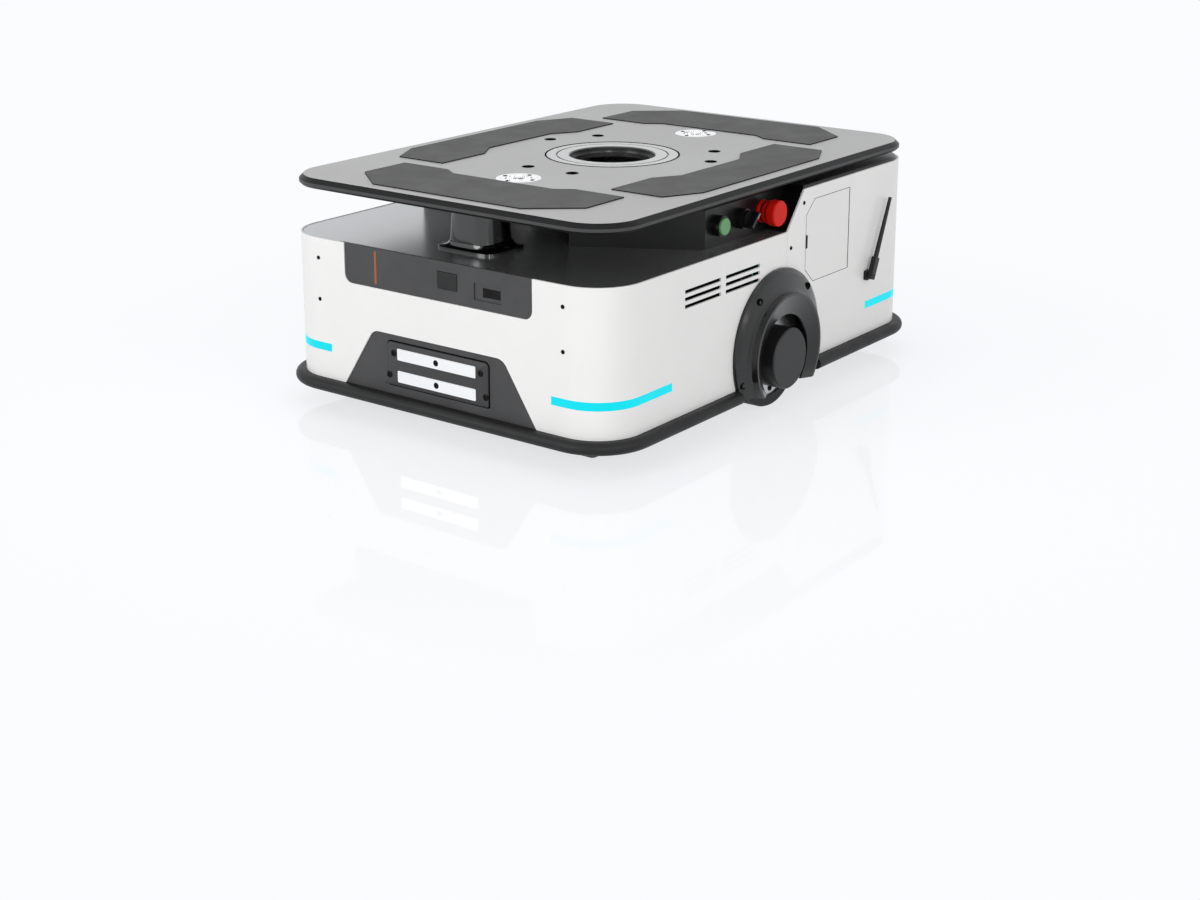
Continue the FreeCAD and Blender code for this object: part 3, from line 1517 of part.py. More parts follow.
# ---------------------------------------------------------------- lift
def make_lift_frame():
    """Four-legged frame with a bearing plate below and a guide plate on top."""
    legs = []
    low_x = (frame_rear_x, frame_front_x - frame_leg)
    for x in low_x:
        for y in (-frame_half, frame_half - frame_leg):
            legs.append(box(x, x + frame_leg, y, y + frame_leg, tray_top, frame_high_z))
    frame = box(frame_rear_x, frame_front_x, -frame_half, frame_half, frame_high_z,
                frame_high_z + frame_plate)
    shelf = box(frame_rear_x, frame_front_x, -frame_half, frame_half, frame_low_z,
                frame_low_z + frame_plate)
    frame = frame.fuse(shelf)
    for leg in legs:
        frame = frame.fuse(leg)
    depth = frame_plate + 2 * overcut
    for y in (-screw_y, screw_y):
        frame = frame.cut(rod(tube_bush_radius, depth, lift_x, y, frame_high_z - overcut))
        frame = frame.cut(rod(screw_bearing_radius, depth, lift_x, y, frame_low_z - overcut))
    for x in guide_xs:
        for y in (-guide_y, guide_y):
            for z in (frame_low_z, frame_high_z):
                frame = frame.cut(rod(guide_bush_radius, depth, x, y, z - overcut))
    return frame.cut(rod(lift_shaft_hole_radius, depth, lift_motor_x, 0, frame_low_z - overcut))


def bush(radius, flange_radius, bore, x, y, plate_z):
    """A flanged bush that hangs in a plate."""
    top = plate_z + frame_plate
    body = rod(radius, bush_length, x, y, top - bush_length)
    collar = rod(flange_radius, bush_flange_wall, x, y, top)
    hole = rod(bore, bush_length + bush_flange_wall + 2 * overcut, x, y,
               top - bush_length - overcut)
    return body.fuse(collar).cut(hole)


def make_lift_bearings():
    """Tube bushes, guide bushes and screw bearings in the two plates."""
    bushes = []
    for y in (-screw_y, screw_y):
        bushes.append(bush(tube_bush_radius, tube_bush_flange, tube_radius + run_gap,
                           lift_x, y, frame_high_z))
        body = rod(screw_bearing_radius, frame_plate, lift_x, y, frame_low_z)
        bushes.append(body.cut(rod(screw_journal_radius + run_gap, frame_plate + 2 * overcut,
                                   lift_x, y, frame_low_z - overcut)))
    for x in guide_xs:
        for y in (-guide_y, guide_y):
            for z in (frame_low_z, frame_high_z):
                bushes.append(bush(guide_bush_radius, guide_bush_flange,
                                   guide_radius + run_gap, x, y, z))
    return bushes


def pulley(x, y):
    """Toothed-belt pulley with two flanges."""
    wheel = rod(pulley_radius, pulley_width, x, y, pulley_floor)
    for z in (pulley_floor, pulley_floor + pulley_width - pulley_flange_wall):
        wheel = wheel.fuse(rod(pulley_flange_radius, pulley_flange_wall, x, y, z))
    return wheel


def make_lead_screw(y):
    """Lead screw with its pulley and a journal that stands in the lower plate."""
    foot = frame_low_z - screw_foot_drop
    journal = rod(screw_journal_radius, pulley_floor - foot, lift_x, y, foot)
    collar = rod(screw_journal_radius + screw_collar_lip, screw_foot_drop - fit_gap, lift_x, y,
                 foot - fit_gap)
    top = platform_foot - screw_top_gap
    screw = rod(screw_radius, top - pulley_floor, lift_x, y, pulley_floor)
    tip = edges_at(screw, lambda p: abs(p.z - top) < touch)
    screw = screw.makeChamfer(screw_tip_edge, tip)
    return screw.fuse(journal).fuse(collar).fuse(pulley(lift_x, y))


def make_motor_pulley():
    """Pulley and shaft of the lift motor."""
    foot = frame_low_z - lift_shaft_drop
    shaft = rod(lift_shaft_radius, pulley_floor - foot, lift_motor_x, 0, foot)
    return pulley(lift_motor_x, 0).fuse(shaft)


def make_belt():
    """Flat belt loop round the two screw pulleys and the motor pulley."""
    corners = [V(lift_x, -screw_y, 0), V(lift_motor_x, 0, 0), V(lift_x, screw_y, 0)]
    triangle = Part.Face(Part.makePolygon(corners + [corners[0]]))
    inner = triangle.makeOffset2D(pulley_radius + fit_gap)
    outer = triangle.makeOffset2D(pulley_radius + fit_gap + belt_wall)
    low = pulley_floor + (pulley_width - belt_width) / 2
    hollow = slab(inner, low - overcut, low + belt_width + overcut)
    return slab(outer, low, low + belt_width).cut(hollow)


def make_lift_motor():
    """Vertical gearmotor that hangs under the lower plate."""
    top = frame_low_z
    half = lift_motor_flange_half
    flange = box(lift_motor_x - half, lift_motor_x + half, -half, half,
                 top - lift_motor_flange_wall, top)
    body = rod(lift_motor_radius, lift_motor_length, lift_motor_x, 0,
               top - lift_motor_flange_wall - lift_motor_length)
    motor = flange.fuse(body)
    return motor.cut(rod(lift_shaft_radius + run_gap, lift_shaft_bore_depth + overcut,
                         lift_motor_x, 0, top - lift_shaft_bore_depth))


def make_lift_tubes():
    """Lifting tubes: a flange under the platform and the screw nut in the foot."""
    tubes = []
    for y in (-screw_y, screw_y):
        tube = rod(tube_radius, platform_foot - tube_foot, lift_x, y, tube_foot)
        tube = tube.fuse(rod(tube_flange_radius, column_flange, lift_x, y, column_flange_foot))
        cavity = rod(tube_bore_radius, platform_foot - tube_foot - nut_height, lift_x, y,
                     tube_foot + nut_height)
        thread = rod(screw_radius + run_gap, nut_height + 2 * overcut, lift_x, y,
                     tube_foot - overcut)
        tubes.append(tube.cut(cavity).cut(thread))
    return tubes


def make_guide_shafts():
    """Four ground guide shafts with a flange under the platform."""
    shafts = []
    for x in guide_xs:
        for y in (-guide_y, guide_y):
            shaft = rod(guide_radius, platform_foot - guide_foot, x, y, guide_foot)
            shafts.append(shaft.fuse(rod(guide_flange_radius, column_flange, x, y,
                                         column_flange_foot)))
    return shafts


def make_camera():
    """Upward camera with a stepped rim, on the top plate of the lift frame."""
    floor = frame_high_z + frame_plate
    body = rod(camera_radius, camera_height, 0, 0, floor)
    well_floor = floor + camera_height - camera_well_depth
    well = rod(camera_radius - camera_rim, camera_well_depth, 0, 0, well_floor)
    lens = rod(camera_lens_radius, camera_lens_height, 0, 0, well_floor)
    return body.cut(well).fuse(lens)


# ---------------------------------------------------------------- power and control boxes
def make_battery():
    """Battery pack with rounded edges and a carrying bow."""
    front = battery_rear_x + battery_length
    case = box(battery_rear_x, front, -battery_half, battery_half, tray_top,
               tray_top + battery_height)
    upright = [e for e in case.Edges
               if abs(e.Vertexes[0].Z - e.Vertexes[1].Z) > battery_height / 2]
    case = case.makeFillet(battery_edge, upright)
    middle = battery_rear_x + battery_length / 2
    top = tray_top + battery_height
    half, bar = battery_handle_half, battery_handle_bar
    bow = box(middle - bar / 2, middle + bar / 2, -half, half, top, top + battery_handle_rise)
    gap = box(middle - bar, middle + bar, -half + bar, half - bar, top,
              top + battery_handle_rise - bar)
    return case.fuse(bow.cut(gap))


def make_controller():
    """Controller housing with cooling fins."""
    top = tray_top + controller_height
    case = box(controller_x, controller_x + controller_length, -controller_half,
               controller_half, tray_top, top)
    inset = controller_fin_inset
    pitch = 2 * (controller_half - inset) / (controller_fin_count - 1)
    for i in range(controller_fin_count):
        y = inset - controller_half + i * pitch
        case = case.fuse(box(controller_x + inset, controller_x + controller_length - inset,
                             y - controller_fin_wall / 2, y + controller_fin_wall / 2,
                             top, top + controller_fin_height))
    return case


# ---------------------------------------------------------------- assembly
def build():
    """Makes every piece and writes one file per node."""
    os.makedirs("parts", exist_ok=True)
    save("front_skin", make_front_skin())
    save("rear_skin", make_rear_skin())
    save("corner_lights", *make_corner_lights())
    save("bumpers", *make_bumpers())
    wheel_cover = make_wheel_cover()
    save("wheel_cover_left", wheel_cover)
    save("wheel_cover_right", mirror_y(wheel_cover))
    save("front_panel", make_front_panel())
    save("charging_socket", make_charging_socket())
    save("socket_flap", make_socket_flap())
    save("power_rocker", make_power_rocker())
    save("status_strip", make_status_strip())
    save("charge_panel", make_charge_panel())
    save("contact_plate", make_contact_plate())
    save("charge_contacts", *make_contacts())
    save("base_tray", *make_base_tray())
    save("caster_pods", *make_caster_pods())
    save("drive_brackets", *make_drive_brackets())
    save("drive_gearmotors", *make_gearmotors())
    for name, shape in (("tyre", make_tyre()), ("wheel_hub", make_wheel_hub()),
                        ("hub_cap", make_hub_cap())):
        save(name + "_left", shape)
        save(name + "_right", mirror_y(shape))
    plate, fork, bolt, wheel = caster_stack()
    save("caster_plates", *four_corners(plate))
    rear_shift = V(-2 * caster_x, 0, 0)
    for name, side, shift in (("front_left", 1, V(0, 0, 0)), ("front_right", -1, V(0, 0, 0)),
                              ("rear_left", 1, rear_shift), ("rear_right", -1, rear_shift)):
        pieces = []
        for shape in (fork, bolt, wheel):
            copy = shape.copy() if side > 0 else mirror_y(shape)
            copy.translate(shift)
            pieces.append(copy)
        save("caster_fork_" + name, pieces[0], pieces[1])
        save("caster_wheel_" + name, pieces[2])
    save("front_deck", make_front_deck())
    save("upper_cover", make_upper_cover())
    save("laser_scanner", *make_scanner())
    save("control_collars", *make_control_collars())
    save("start_button", make_start_button())
    save("selector_knob", make_selector_knob())
    estop_stem, estop_head = make_estop()
    save("estop_stem", estop_stem)
    save("estop_head", estop_head)
    save("access_door", make_access_door())
    save("service_bay", make_service_bay())
    antenna_foot, antenna = make_antenna()
    save("antenna_foot", antenna_foot)
    save("antenna", antenna)
    save("platform", make_platform())
    save("centre_ring", make_centre_ring())
    save("locating_flanges", *make_locating_flanges())
    save("rubber_pads", *make_pads())
    save("lift_frame", make_lift_frame())
    save("lift_bearings", *make_lift_bearings())
    save("lead_screw_left", make_lead_screw(screw_y))
    save("lead_screw_right", make_lead_screw(-screw_y))
    save("motor_pulley", make_motor_pulley())
    save("lift_belt", make_belt())
    save("lift_motor", make_lift_motor())
    save("lift_columns", *make_lift_tubes(), *make_guide_shafts())
    save("camera", make_camera())
    save("battery", make_battery())
    save("controller", make_controller())


build()
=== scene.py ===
"""Looks of an autonomous mobile robot with a lifting platform, laid out as a Blender add-on.

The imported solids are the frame. This script gives each one its finish and adds the small pieces
that the solids leave out: screws, seals, lenses, marks and trims. Lengths are in metres.
"""

import json
import math

import bmesh
import bpy
import numpy as np
from mathutils import Matrix, Vector


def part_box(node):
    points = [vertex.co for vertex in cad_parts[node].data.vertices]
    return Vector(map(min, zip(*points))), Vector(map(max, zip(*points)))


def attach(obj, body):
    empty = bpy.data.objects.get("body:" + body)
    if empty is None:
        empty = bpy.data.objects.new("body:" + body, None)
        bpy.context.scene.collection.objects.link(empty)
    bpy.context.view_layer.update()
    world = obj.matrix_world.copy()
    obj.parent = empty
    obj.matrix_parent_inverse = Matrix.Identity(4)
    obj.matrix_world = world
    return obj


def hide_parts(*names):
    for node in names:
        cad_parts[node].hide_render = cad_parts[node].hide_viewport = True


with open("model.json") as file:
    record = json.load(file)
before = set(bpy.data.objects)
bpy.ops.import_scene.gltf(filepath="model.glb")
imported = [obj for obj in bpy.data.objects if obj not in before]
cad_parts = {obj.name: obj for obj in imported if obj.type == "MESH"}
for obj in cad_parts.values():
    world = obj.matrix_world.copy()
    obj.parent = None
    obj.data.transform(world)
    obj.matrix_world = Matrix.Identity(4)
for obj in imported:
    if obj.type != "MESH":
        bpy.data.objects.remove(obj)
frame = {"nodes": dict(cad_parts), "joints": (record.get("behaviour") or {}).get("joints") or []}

bl_info = {
    "name": "Lifting mobile robot",
    "version": (1, 0, 0),
    "blender": (4, 5, 0),
    "location": "3D View > Sidebar > Robot",
    "description": "Finishes and small pieces of a mobile robot with a lifting platform",
    "category": "Object",
}

NODES = frame["nodes"]
JOINTS = {joint["name"]: joint for joint in frame["joints"]}
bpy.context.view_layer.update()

# Corners nearer than this become one corner.
MERGE = 1e-6

# Screws of the left wheel cover: places (along, out, up) and the profile of one head with its
# near-black cup; the cup is painted shade standing for the pocket round the head.
COVER_SCREW_SPOTS = ((0.069, 0.3462, 0.195), (-0.079, 0.3455, 0.191),
                     (0.111, 0.3440, 0.065), (-0.111, 0.3440, 0.065))
COVER_SCREW_PROFILE = ((0.0, -0.0080), (0.0060, -0.0080), (0.0060, 0.0012), (0.0054, 0.0018),
                       (0.0047, 0.0018), (0.0042, -0.0006), (-0.0022, -0.0006),
                       (-0.0022, -0.0026), (0.0, -0.0028))

# Screws of the skins: along and up on the sides, and how far the back's upper ones are raised.
SIDE_SCREW_SPOTS = ((-0.041, 0.261), (-0.079, 0.330))
BACK_SCREW_RISE = 0.05

# Locating flanges: their screws, the radius of one head and the bore.
FLANGE_SCREWS = 4
FLANGE_SCREW_RADIUS = 0.0038
FLANGE_BORE = 0.010

# Payload holes: groups round the centre, degrees between groups and from a group to its holes.
PAYLOAD_GROUPS = 3
PAYLOAD_GROUP_STEP = 120
PAYLOAD_HALF_PAIR = 15

# Charging contacts: a bar's share of the pair's height, and the plate screws' side reach.
BAR_SHARE = 0.342
CONTACT_SCREW_REACHES = (0.090, 0.100)

# Pull of the access door: height of its middle, half its width and height, and its thickness.
LATCH_HEIGHT = 0.262
LATCH_HALF_WIDE = 0.0024
LATCH_HALF_HIGH = 0.0112
LATCH_PROUD = 0.0024

# Ribbed sleeve of the stop button: radius between ribs, height of a rib, rows and sides.
SLEEVE_RADIUS = 0.0176
SLEEVE_RIB = 0.0014
SLEEVE_ROWS = 33
SLEEVE_SIDES = 64

# Upward camera: the lens, and the lamps round it with their circle and depth.
LENS_RADIUS = 0.013
LENS_RISE = 0.004
CAMERA_LAMPS = 12
CAMERA_LAMP_CIRCLE = 0.032
CAMERA_LAMP_DROP = 0.006

# Screws in the rim of a drive wheel: their number, circle and depth in the face.
WHEEL_SCREWS = 6
WHEEL_SCREW_CIRCLE = 0.057
WHEEL_SCREW_SINK = 0.001

# Pointer of the selector: half its sides, its reach from the axis and its turn at rest.
POINTER_HALF_WIDE = 0.0011
POINTER_HALF_LONG = 0.0048
POINTER_REACH = 0.0085
POINTER_TURN = math.radians(-45.0)

# Soft boxes: name, place, side in metres and power in watts. All look at one point.
LAMPS = (("key_lamp", (3.9, -1.2, 1.5), 2.0, 62.0),
         ("corner_lamp", (2.9, 3.0, 1.2), 0.9, 26.0),
         ("side_lamp", (0.6, 4.2, 1.9), 2.0, 34.0),
         ("top_lamp", (-0.4, -0.6, 4.2), 3.0, 21.0))
LAMP_AIM = (0.0, 0.0, 0.2)

# Backdrop colour, strength of the soft sky and the floor's size.
BACKDROP = "FAFCFE"
SKY_LEVEL = 0.5
FLOOR_RADIUS = 16.0

# Floor as it is seen: lift of the matt white, share of the mirror, and where it fades out.
FLOOR_LIFT = 0.78
FLOOR_MIRROR = 0.07
FLOOR_FADE = (0.5, 1.3)

# Camera: place, line of sight, lens and sensor in millimetres, and upward shift.
CAMERA_PLACE = (2.5956, 1.9267, 1.0037)
CAMERA_FORWARD = (-0.77124, -0.58029, -0.26164)
CAMERA_LENS_MM = 57.77
CAMERA_SENSOR_MM = 36.0
CAMERA_SHIFT = -0.125


# ------------------------------------------------------------------ settings
class RobotColours(bpy.types.PropertyGroup):
    """Colours that a user would change, as sRGB hex text."""

    shell: bpy.props.StringProperty(name="Shell", description="Satin white ABS", default="F1F0EF")
    door: bpy.props.StringProperty(name="Door", description="Access door", default="F0EFEE")
    plate: bpy.props.StringProperty(name="Platform", description="Anodised top", default="B9B9B8")
    edge: bpy.props.StringProperty(name="Platform edge", description="Dark rim", default="0C0C0D")
    pads: bpy.props.StringProperty(name="Pads", description="Rubber pads", default="585858")
    panel: bpy.props.StringProperty(name="Panels", description="Front panels", default="434344")
    cover: bpy.props.StringProperty(name="Wheel covers", description="Moulded", default="171718")
    bumper: bpy.props.StringProperty(name="Bumper", description="Rubber edge", default="161617")
    light: bpy.props.StringProperty(name="Lights", description="Corner lights", default="05E3F2")
    stripe: bpy.props.StringProperty(name="Line", description="Panel light", default="B5683E")
    stop: bpy.props.StringProperty(name="Stop", description="Stop button", default="D81B10")
    start: bpy.props.StringProperty(name="Start", description="Start button", default="5F9A63")


class RobotSizes(bpy.types.PropertyGroup):
    """Sizes of the small pieces that a user would change."""

    screw_radius: bpy.props.FloatProperty(
        name="Screw head radius", description="Button heads in the shell",
        default=0.0034, unit="LENGTH", subtype="DISTANCE")
    front_screw_side: bpy.props.FloatProperty(
        name="Front screw offset", description="Front screws from the middle",
        default=0.250, unit="LENGTH", subtype="DISTANCE")
    front_screw_high: bpy.props.FloatProperty(
        name="Upper screw height", description="Upper front screws over the floor",
        default=0.257, unit="LENGTH", subtype="DISTANCE")
    front_screw_low: bpy.props.FloatProperty(
        name="Lower screw height", description="Lower front screws over the floor",
        default=0.188, unit="LENGTH", subtype="DISTANCE")
    flange_screw_circle: bpy.props.FloatProperty(
        name="Flange screw circle", description="Radius of the flange screws' circle",
        default=0.028, unit="LENGTH", subtype="DISTANCE")
    deck_lift: bpy.props.FloatProperty(
        name="Deck lift", description="Height of the deck's sheet over the plain one",
        default=0.0044, unit="LENGTH", subtype="DISTANCE")
    contact_foot_half: bpy.props.FloatProperty(
        name="Contact seat foot", description="Half the foot of the contact plate's seat",
        default=0.1155, unit="LENGTH", subtype="DISTANCE")
    contact_top_half: bpy.props.FloatProperty(
        name="Contact seat top", description="Half the top of the contact plate's seat",
        default=0.1055, unit="LENGTH", subtype="DISTANCE")
    payload_circle: bpy.props.FloatProperty(
        name="Payload hole circle", description="Radius of the payload holes' circle",
        default=0.177, unit="LENGTH", subtype="DISTANCE")
    door_pin: bpy.props.FloatProperty(
        name="Door pin", description="Length of each hinge pin beyond the door's leaf",
        default=0.0063, unit="LENGTH", subtype="DISTANCE")
    door_chamfer_run: bpy.props.FloatProperty(
        name="Door chamfer run", description="Run of the door's cut corners",
        default=0.026, unit="LENGTH", subtype="DISTANCE")
    door_chamfer_rise: bpy.props.FloatProperty(
        name="Door chamfer rise", description="Rise of the door's cut corners",
        default=0.024, unit="LENGTH", subtype="DISTANCE")


# ------------------------------------------------------------------ colour and node helpers
def linear(code):
    """An sRGB hex colour as linear red, green, blue and alpha."""
    values = np.array([int(code[i:i + 2], 16) for i in (0, 2, 4)]) / 255.0
    low = values / 12.92
    high = ((values + 0.055) / 1.055) ** 2.4
    return tuple(float(v) for v in np.where(values <= 0.04045, low, high)) + (1.0,)


def add_node(tree, kind, links=None, **settings):
    """Adds one node, sets its fields and inputs, and links its inputs to other nodes' outputs."""
    node = tree.nodes.new(kind)
    inputs = settings.pop("inputs", {})
    for field, value in settings.items():
        setattr(node, field, value)
    for socket, value in inputs.items():
        node.inputs[socket].default_value = value
    for socket, source in (links or {}).items():
        tree.links.new(source, node.inputs[socket])
    return node


def shader_base(name, colour, roughness, metallic=0.0, **extra):
    """A new material with one principled shader, whose plain values sit on its own sockets."""
    material = bpy.data.materials.new(name)
    material.use_nodes = True
    material.diffuse_color = colour
    tree = material.node_tree
    shader = tree.nodes["Principled BSDF"]
    shader.inputs["Base Color"].default_value = colour
    shader.inputs["Roughness"].default_value = roughness
    shader.inputs["Metallic"].default_value = metallic
    for socket, value in extra.items():
        shader.inputs[socket.replace("_", " ")].default_value = value
    return material, tree, shader


def grain(tree, shader, size, depth, detail=3.0, tone=None, spread=None, rough=None):
    """Fine relief of one grain size in metres, with a slow change of tone and of gloss.

    Height is a noise over object coordinates whose cells are one grain wide. Tone and gloss
    follow a second noise of cells `spread` wide, between two colours or two roughness values.
    """
    place = add_node(tree, "ShaderNodeTexCoord").outputs["Object"]
    fine = add_node(tree, "ShaderNodeTexNoise", {"Vector": place},
                    inputs={"Scale": 1.0 / size, "Detail": detail, "Roughness": 0.6})
    bump = add_node(tree, "ShaderNodeBump", {"Height": fine.outputs["Fac"]},
                    inputs={"Strength": 1.0, "Distance": depth})
    tree.links.new(bump.outputs["Normal"], shader.inputs["Normal"])
    if spread is None:
        return place
    slow = add_node(tree, "ShaderNodeTexNoise", {"Vector": place},
                    inputs={"Scale": 1.0 / spread, "Detail": 4.0, "Roughness": 0.55})
    if tone is not None:
        ramp = add_node(tree, "ShaderNodeValToRGB", {"Fac": slow.outputs["Fac"]})
        ramp.color_ramp.elements[0].position = 0.35
        ramp.color_ramp.elements[1].position = 0.65
        ramp.color_ramp.elements[0].color = tone[0]
        ramp.color_ramp.elements[1].color = tone[1]
        tree.links.new(ramp.outputs["Color"], shader.inputs["Base Color"])
    if rough is not None:
        gloss = add_node(tree, "ShaderNodeMapRange", {"Value": slow.outputs["Fac"]},
                         inputs={"From Min": 0.3, "From Max": 0.7,
                                 "To Min": rough[0], "To Max": rough[1]})
        tree.links.new(gloss.outputs["Result"], shader.inputs["Roughness"])
    return place


def shade(colour, factor):
    """A lighter or darker shade of a linear colour."""
    return tuple(min(1.0, c * factor) for c in colour[:3]) + (1.0,)


# ------------------------------------------------------------------ finishes
def satin_white_abs(code):
    """Moulded ABS with a satin lacquer: soft gloss that draws bright bands down the corners."""
    white = linear(code)
    material, tree, shader = shader_base("satin_white_abs", white, 0.38,
                                         Coat_Weight=0.3, Coat_Roughness=0.16)
    # Peel cells are about 2 mm wide, drawn at 4 mm so that they show.
    grain(tree, shader, 0.004, 0.00002, tone=(shade(white, 0.98), shade(white, 1.01)),
          spread=0.18, rough=(0.34, 0.42))
    return material


def higher_than(tree, place, height):
    """One where a point lies over a height on its piece, and nought under it."""
    parts = add_node(tree, "ShaderNodeSeparateXYZ", {"Vector": place})
    test = add_node(tree, "ShaderNodeMath", {0: parts.outputs["Z"]}, operation="GREATER_THAN",
                    inputs={1: height})
    return test.outputs["Value"]


def anodised_plate_dark_rim(top_code, rim_code, top_height, foot_height):
    """Aluminium plate: blasted grey on its flat top, black chamfer, a paler milled side band."""
    top, rim, side = linear(top_code), linear(rim_code), linear("454546")
    material, tree, shader = shader_base("anodised_plate_dark_rim", top, 0.4,
                                         Specular_IOR_Level=0.2)
    # Blast grit is 0.3 mm, drawn at 1.6 mm so that it shows.
    place = grain(tree, shader, 0.0016, 0.000012, spread=0.25, rough=(0.34, 0.44))
    cloud = add_node(tree, "ShaderNodeTexNoise", {"Vector": place},
                     inputs={"Scale": 1.0 / 0.12, "Detail": 5.0})
    tint = add_node(tree, "ShaderNodeValToRGB", {"Fac": cloud.outputs["Fac"]})
    tint.color_ramp.elements[0].color = shade(top, 0.95)
    tint.color_ramp.elements[1].color = shade(top, 1.04)
    # The milled band lies between the lower edge's break and the foot of the chamfer.
    over_foot = higher_than(tree, place, foot_height + 0.0040)
    over_band = higher_than(tree, place, top_height - 0.0075)
    band = add_node(tree, "ShaderNodeMath", {0: over_foot, 1: over_band}, operation="SUBTRACT")
    edge = add_node(tree, "ShaderNodeMix", {"Factor": band.outputs["Value"]}, data_type="RGBA",
                    inputs={"A": rim, "B": side})
    mix = add_node(tree, "ShaderNodeMix",
                   {"Factor": higher_than(tree, place, top_height - 0.0004),
                    "A": edge.outputs["Result"], "B": tint.outputs["Color"]}, data_type="RGBA")
    tree.links.new(mix.outputs["Result"], shader.inputs["Base Color"])
    return material


def turned_metal(name, code, roughness, pitch, centres):
    """Lathe-turned metal: fine circles one feed apart round each of the given centres.

    The height is the sine of the distance to the nearest centre, counted in feeds.
    """
    colour = linear(code)
    material, tree, shader = shader_base(name, colour, roughness, 1.0, Anisotropic=0.4)
    place = add_node(tree, "ShaderNodeTexCoord").outputs["Object"]
    nearest = None
    for x, y in centres:
        flat = add_node(tree, "ShaderNodeVectorMath", {0: place}, operation="MULTIPLY",
                        inputs={1: (1.0, 1.0, 0.0)})
        offset = add_node(tree, "ShaderNodeVectorMath", {0: flat.outputs["Vector"]},
                          operation="DISTANCE", inputs={1: (x, y, 0.0)})
        value = offset.outputs["Value"]
        if nearest is not None:
            lesser = add_node(tree, "ShaderNodeMath", {0: nearest, 1: value},
                              operation="MINIMUM")
            value = lesser.outputs["Value"]
        nearest = value
    turns = add_node(tree, "ShaderNodeMath", {0: nearest}, operation="MULTIPLY",
                     inputs={1: 2 * math.pi / pitch})
    wave = add_node(tree, "ShaderNodeMath", {0: turns.outputs["Value"]}, operation="SINE")
    bump = add_node(tree, "ShaderNodeBump", {"Height": wave.outputs["Value"]},
                    inputs={"Strength": 0.5, "Distance": 0.00001})
    tree.links.new(bump.outputs["Normal"], shader.inputs["Normal"])
    stain = add_node(tree, "ShaderNodeTexNoise", {"Vector": place}, inputs={"Scale": 60.0})
    gloss = add_node(tree, "ShaderNodeMapRange", {"Value": stain.outputs["Fac"]},
                     inputs={"To Min": roughness * 0.8, "To Max": roughness * 1.3})
    tree.links.new(gloss.outputs["Result"], shader.inputs["Roughness"])
    return material


def brushed_metal(name, code, roughness, along):
    """Drawn or brushed metal: long streaks along one axis, about 0.6 mm apart."""
    colour = linear(code)
    material, tree, shader = shader_base(name, colour, roughness, 1.0)
    place = add_node(tree, "ShaderNodeTexCoord").outputs["Object"]
    stretch = [1.0 / 0.0006] * 3
    stretch[along] = 1.0 / 0.04
    streak = add_node(tree, "ShaderNodeMapping", {"Vector": place}, inputs={"Scale": stretch})
    noise = add_node(tree, "ShaderNodeTexNoise", {"Vector": streak.outputs["Vector"]},
                     inputs={"Scale": 1.0, "Detail": 3.0})
    bump = add_node(tree, "ShaderNodeBump", {"Height": noise.outputs["Fac"]},
                    inputs={"Strength": 0.4, "Distance": 0.00001})
    tree.links.new(bump.outputs["Normal"], shader.inputs["Normal"])
    gloss = add_node(tree, "ShaderNodeMapRange", {"Value": noise.outputs["Fac"]},
                     inputs={"To Min": roughness * 0.75, "To Max": roughness * 1.35})
    tree.links.new(gloss.outputs["Result"], shader.inputs["Roughness"])
    return material


def moulded_plastic(name, code, roughness, grit=0.0012, coat=0.0, gleam=0.3):
    """Injection-moulded ABS with a spark-eroded texture and slightly uneven gloss."""
    colour = linear(code)
    material, tree, shader = shader_base(name, colour, roughness, Coat_Weight=coat,
                                         Coat_Roughness=0.12, Specular_IOR_Level=gleam)
    grain(tree, shader, grit, 0.000015, tone=(shade(colour, 0.9), shade(colour, 1.1)),
          spread=0.06, rough=(roughness * 0.88, roughness * 1.12))
    return material


def moulded_rubber(name, code, grit=0.002, roughness=0.72, gleam=0.3):
    """Vulcanised rubber: matt, with a fine pebble and a dusty bloom in slow patches."""
    colour = linear(code)
    material, tree, shader = shader_base(name, colour, roughness, Specular_IOR_Level=gleam)
    grain(tree, shader, grit, 0.00004, detail=5.0,
          tone=(shade(colour, 0.93), shade(colour, 1.08)), spread=0.05,
          rough=(roughness - 0.06, roughness + 0.08))
    return material


def glossy_polycarbonate(name, code, roughness=0.08):
    """Clear-coated dark window moulding: almost mirror smooth, with a faint ripple."""
    colour = linear(code)
    material, tree, shader = shader_base(name, colour, roughness, IOR=1.58, Coat_Weight=0.6,
                                         Coat_Roughness=0.04)
    grain(tree, shader, 0.03, 0.00002, detail=1.0, tone=(shade(colour, 0.85), shade(colour, 1.15)),
          spread=0.04, rough=(roughness, roughness + 0.05))
    return material


def metallic_coat(name, code, roughness):
    """Powder coat with aluminium flake: a satin sheen that mirrors what stands on it."""
    colour = linear(code)
    material, tree, shader = shader_base(name, colour, roughness, 0.85)
    # Flakes are about 0.1 mm, drawn at 2.5 mm so that they show.
    grain(tree, shader, 0.0025, 0.0000015, tone=(shade(colour, 0.97), shade(colour, 1.03)),
          spread=0.12, rough=(roughness * 0.95, roughness * 1.05))
    return material


def lit_diffuser(name, code, strength, cell):
    """Milky strip lit from behind: nearly even, a little brighter over each diode."""
    colour = linear(code)
    material, tree, shader = shader_base(name, shade(colour, 0.06), 0.4,
                                         Specular_IOR_Level=0.15)
    place = add_node(tree, "ShaderNodeTexCoord").outputs["Object"]
    spots = add_node(tree, "ShaderNodeTexNoise", {"Vector": place},
                     inputs={"Scale": 1.0 / cell, "Detail": 0.0})
    glow = add_node(tree, "ShaderNodeValToRGB", {"Fac": spots.outputs["Fac"]})
    glow.color_ramp.elements[0].color = shade(colour, 0.95)
    glow.color_ramp.elements[1].color = shade(colour, 1.02)
    tree.links.new(glow.outputs["Color"], shader.inputs["Emission Color"])
    shader.inputs["Emission Strength"].default_value = strength
    return material


